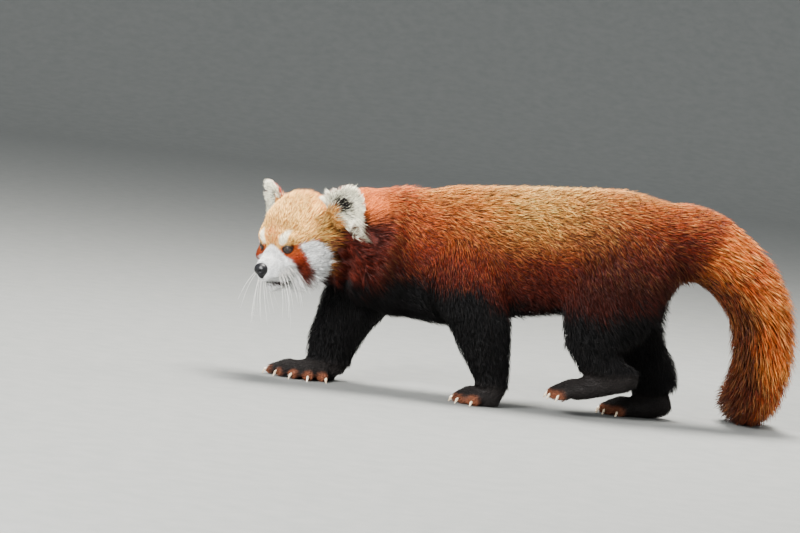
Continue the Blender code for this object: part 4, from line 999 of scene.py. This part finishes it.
def addTufts(name, chosen, stops, material, slot):  # each tuft is closed, with three sides and a point
    across, outward = np.cross(rootNormal, heading)[chosen], rootNormal[chosen]
    rings = []
    for share in stops:
        middle = (tuftPath(share) + gather * share ** 2)[chosen]
        wide = look["width"][chosen] * (1.0 - tuftLook["narrow"] * share ** 1.6)
        if share == 0.0:
            middle = middle - outward * tuftLook["sink"]
            wide = wide * 0.7
        for turn, thick in ((-0.5, 0.0), (0.5, 0.0), (0.0, tuftLook["thick"])):
            rings.append(middle + across * (wide * turn)[:, None] + outward * (wide * thick)[:, None])
    rings.append((tips + gather)[chosen])
    points = np.stack(rings, axis=1)
    points[:, :, 2] = np.maximum(points[:, :, 2], tuftLook["floorGap"])
    many, size, levels = len(chosen), len(rings), len(stops)
    pattern = [(0, 2, 1)]
    for level in range(levels - 1):
        for side in range(3):
            a, b = level * 3 + side, level * 3 + (side + 1) % 3
            pattern += [(a, b, b + 3), (a, b + 3, a + 3)]
    last = (levels - 1) * 3
    pattern += [(last + side, last + (side + 1) % 3, size - 1) for side in range(3)]
    faces = (np.array(pattern)[None] + (np.arange(many) * size)[:, None, None]).reshape(-1, 3)
    mesh = addMesh(name, points.reshape(-1, 3), faces, material, slot).data
    along = np.append(np.repeat(stops, 3), 1.0)
    addColour(mesh, "rootColour", np.repeat(rootColour[chosen], size, axis=0))
    addColour(mesh, "tipColour", np.repeat(tipColour[chosen], size, axis=0))
    addValue(mesh, "along", np.tile(along, many))
    addValue(mesh, "strand", np.repeat(strandShade[chosen], size))
    aside = np.append(np.tile((-0.5, 0.5, 0.0), levels), 0.0)
    patch = np.stack([aside, along - 0.5], axis=1) * tuftLook["patch"]
    flatPlaces = (rootMap[chosen][:, None, :] + patch[None]).reshape(-1, 2)
    layer = mesh.uv_layers.new(name="OFBake")
    layer.data.foreach_set("uv", flatPlaces[faces.ravel()].astype(np.float32).ravel())


groups = {
    "headFur": (("head",), "head_fur", shortStops),
    "earFur": (("ear",), "ear_fur", shortStops),
    "bodyFur": (("torso", "neck"), "body_fur", shortStops),
    "legFur": (("thigh", "foreleg", "shank", "forepaw", "hindpaw"), "leg_fur", shortStops),
    "tailFur": (("tail",), "tail_fur", longStops),
}
furOf = furMaterial("redPandaFur")
groupOf = rootKinds.argmax(1)
coatTriangles = 0
for name, (members, slot, stops) in groups.items():
    chosen = np.nonzero(np.isin(groupOf, [kinds.index(kind) for kind in members]))[0]
    each = 4 + 6 * (len(stops) - 1)
    parts = math.ceil(len(chosen) * each / tuftLook["pieceLimit"])
    order = np.argsort(rootPlace[chosen, 0])
    for number, part in enumerate(np.array_split(chosen[order], parts)):
        addTufts(f"{name}{number + 1}", part, stops, furOf, slot)
        coatTriangles += len(part) * each
    print(name, len(chosen), "tufts in", parts, "pieces")
print("coat triangles:", coatTriangles)

skin = addMesh("skin", skinPoints, skinFaces, skinMaterial(), "body_fur", fleshNodes)
for name in fleshNodes:
    hide(name)
skinRoot, skinTip = markings(skinPoints, skinNormals, skinKinds, np.full(len(skinPoints), 0.5))
addColour(skin.data, "rootColour", skinRoot)
addColour(skin.data, "tipColour", skinTip)


# eyes, lids, nose, claws
def dress(name, material):
    nodes[name].data.materials.clear()
    nodes[name].data.materials.append(material)
    nodes[name].data.polygons.foreach_set("use_smooth", np.ones(len(nodes[name].data.polygons), bool))


for side, label in ((-1, "Left"), (1, "Right")):
    shell = lidShells[side]
    lid = addMesh("lid" + label, shell, lidOut + lidRest, lidMaterial(), "nose")
    addValue(lid.data, "along", np.tile(lidGrow, 2))
    facing = np.tile(shell[:1] - eyeMidpoint, (len(shell), 1))
    lidRoot, _ = markings(shell, facing, np.tile(onlyHead, (len(shell), 1)), np.full(len(shell), 0.5))
    addColour(lid.data, "rootColour", lidRoot)
clawHorn = clawMaterial()
for name in claws:
    dress(name, clawHorn)


def addSmooth(name, replaced, points, faces, material, slot):  # a smoother piece in the place of a solid
    addMesh(name, points, faces, material, slot, (replaced,))
    hide(replaced)


noseLook = dict(voxel=0.0005, smooth=6, grow=(1.12, 1.12, 1.28), shift=(0.0010, 0.0, -0.0002))
points, faces = remeshed(*arraysOf(nodes["nose"].data), noseLook["voxel"])
points = spread(points, edgesOf(faces), noseLook["smooth"])
middle = points.mean(0)
points = middle + ((points - middle) @ headTurn * noseLook["grow"] + noseLook["shift"]) @ headTurn.T
addSmooth("noseLeather", "nose", points, faces, noseMaterial(), "nose")
form = bmesh.new()
bmesh.ops.create_icosphere(form, subdivisions=eyeLook["subdivisions"], radius=eyeRadius)
ball = bpy.data.meshes.new("ball")
form.to_mesh(ball)
form.free()
points, faces = arraysOf(ball)
bpy.data.meshes.remove(ball)
for side, label in ((-1, "Left"), (1, "Right")):
    material = eyeMaterial("eyeGlass" + label, side)
    addSmooth("eye" + label, "eye_" + label.lower(), points + eyeCentre(side), faces, material, "eye")

# whiskers
whiskerLook = dict(
    radius=0.00036, taper=0.85, length=(0.044, 0.062), droop=0.30, bend=0.55,
    count=15, inRow=5, sides=4, stops=9,
)
whiskerHair = whiskerMaterial()


def addWhiskers(name, side):
    points, faces, alongs = [], [], []
    sides, stops = whiskerLook["sides"], whiskerLook["stops"]
    down = headTurn.T @ np.array((0, 0, -1.0))
    for index in range(whiskerLook["count"]):
        row, back = divmod(index, whiskerLook["inRow"])
        base = np.array((-0.018 + back * 0.0045, side * (0.0165 + back * 0.0022), -0.024 - row * 0.0040))
        ahead = -0.50 if side > 0 else -0.16
        aside = 0.66 - row * 0.12 - (0.12 * back if side > 0 else 0)
        way = unit(np.array((ahead + back * 0.13, side * aside, -0.66 - row * 0.16)) + rng.normal(0, 0.11, 3))
        long = rng.uniform(*whiskerLook["length"]) * (1.1 - 0.05 * back)
        inward = np.array((0, side * whiskerLook["bend"], 0))
        run = []
        for s in np.arange(stops) / (stops - 1):
            outward = way * long * s - inward * long * s * s * 0.5
            run.append(base + outward + down * long * whiskerLook["droop"] * s * s - way * 0.002)
        run = np.array(run)
        onward = unit(np.gradient(run, axis=0))
        across = unit(np.cross(onward, (0.1, 0.2, 1.0)))
        other = np.cross(onward, across)
        start = len(points)
        for stop in range(stops):
            s = stop / (stops - 1)
            radius = whiskerLook["radius"] * (1 - whiskerLook["taper"] * s)
            for turn in range(sides):
                angle = turn / sides * 2 * math.pi
                outward = across[stop] * math.cos(angle) + other[stop] * math.sin(angle)
                points.append(run[stop] + radius * outward)
                alongs.append(s)
        for stop in range(stops - 1):
            for turn in range(sides):
                a, b = start + stop * sides + turn, start + stop * sides + (turn + 1) % sides
                faces.append((a, b, b + sides, a + sides))
        faces.append(tuple(start + turn for turn in range(sides))[::-1])
        faces.append(tuple(start + (stops - 1) * sides + turn for turn in range(sides)))
    thing = addMesh(name, np.array(points) @ headTurn.T + eyeMidpoint, faces, whiskerHair, "head_fur")
    addValue(thing.data, "along", alongs)


addWhiskers("whiskersLeft", -1)
addWhiskers("whiskersRight", 1)
print("eyes, nose, claws and whiskers dressed")

# floor, light, camera
floorLook = dict(near=-12.0, far=6.5, bend=3.5, height=10.0, half=16.0, steps=24)
profile = [(floorLook["near"], 0.0), (floorLook["far"], 0.0)]
for step in range(1, floorLook["steps"] + 1):
    angle = step / floorLook["steps"] * math.pi / 2
    rise = floorLook["bend"] * (1 - math.cos(angle))
    profile.append((floorLook["far"] + floorLook["bend"] * math.sin(angle), rise))
profile.append((floorLook["far"] + floorLook["bend"], floorLook["height"]))
sweep = [(x, y, z) for y, z in profile for x in (-floorLook["half"], floorLook["half"])]
strips = [(2 * k, 2 * k + 1, 2 * k + 3, 2 * k + 2) for k in range(len(profile) - 1)]
floorSkin, start, surface = newMaterial("paleFloor", 0.85, 0.2)
speck = start.noise(30.0, 5.0)
feed(surface, "Base Color", speck.ramp(0.3, 0.7).blend(colour(108, 110, 108), colour(115, 116, 114)))
floor = addMesh("floor", sweep, strips, floorSkin, None)


def addLight(name, place, aim, power, size, tint):
    lamp = bpy.data.lights.new(name, "AREA")
    lamp.shape = "DISK"
    lamp.size = size
    lamp.energy = power
    lamp.color = tint
    thing = bpy.data.objects.new(name, lamp)
    bpy.context.scene.collection.objects.link(thing)
    thing.location = place
    thing.rotation_euler = (Vector(aim) - Vector(place)).to_track_quat("-Z", "Y").to_euler()


lamps = dict(
    overhead=dict(place=(0.1, 0.2, 2.6), aim=(0.0, 0.0, 0.15), power=400.0, size=1.3, tint=(1.0, 0.97, 0.92)),
    front=dict(place=(-1.8, -2.6, 1.7), aim=(-0.1, 0.0, 0.15), power=320.0, size=1.0, tint=(1.0, 0.99, 0.97)),
    low=dict(place=(-1.5, -3.0, 0.85), aim=(-0.35, -0.1, 0.18), power=60.0, size=0.8, tint=(1.0, 1.0, 1.0)),
    rim=dict(place=(1.8, 1.4, 2.0), aim=(0.1, 0.0, 0.2), power=60.0, size=1.2, tint=(1.0, 0.95, 0.88)),
)
for name, lamp in lamps.items():
    addLight(name, **lamp)
world = bpy.data.worlds.new("soft")
bpy.context.scene.world = world
world.use_nodes = True
world.node_tree.nodes["Background"].inputs[0].default_value = (0.86, 0.90, 0.92, 1.0)
world.node_tree.nodes["Background"].inputs[1].default_value = 1.1

cameraLook = dict(roll=6.7, tilt=4.0, distance=5.0, lens=160.7, aimAlong=-0.16178, aimUp=0.1772)
roll, tilt = math.radians(cameraLook["roll"]), math.radians(cameraLook["tilt"])
forward = Vector((0, math.cos(tilt), -math.sin(tilt)))
level, upright = Vector((1, 0, 0)), Vector((0, math.sin(tilt), math.cos(tilt)))
right = level * math.cos(roll) + upright * math.sin(roll)
top = upright * math.cos(roll) - level * math.sin(roll)
target = level * cameraLook["aimAlong"] + upright * cameraLook["aimUp"] + Vector(shift)
lens = bpy.data.cameras.new("camera")
lens.lens = cameraLook["lens"]
lens.sensor_width = 36.0
lens.clip_end = 60.0
camera = bpy.data.objects.new("camera", lens)
bpy.context.scene.collection.objects.link(camera)
turned = Matrix((right, top, -forward)).transposed().to_4x4()
camera.matrix_world = Matrix.Translation(target - forward * cameraLook["distance"]) @ turned
bpy.context.scene.camera = camera
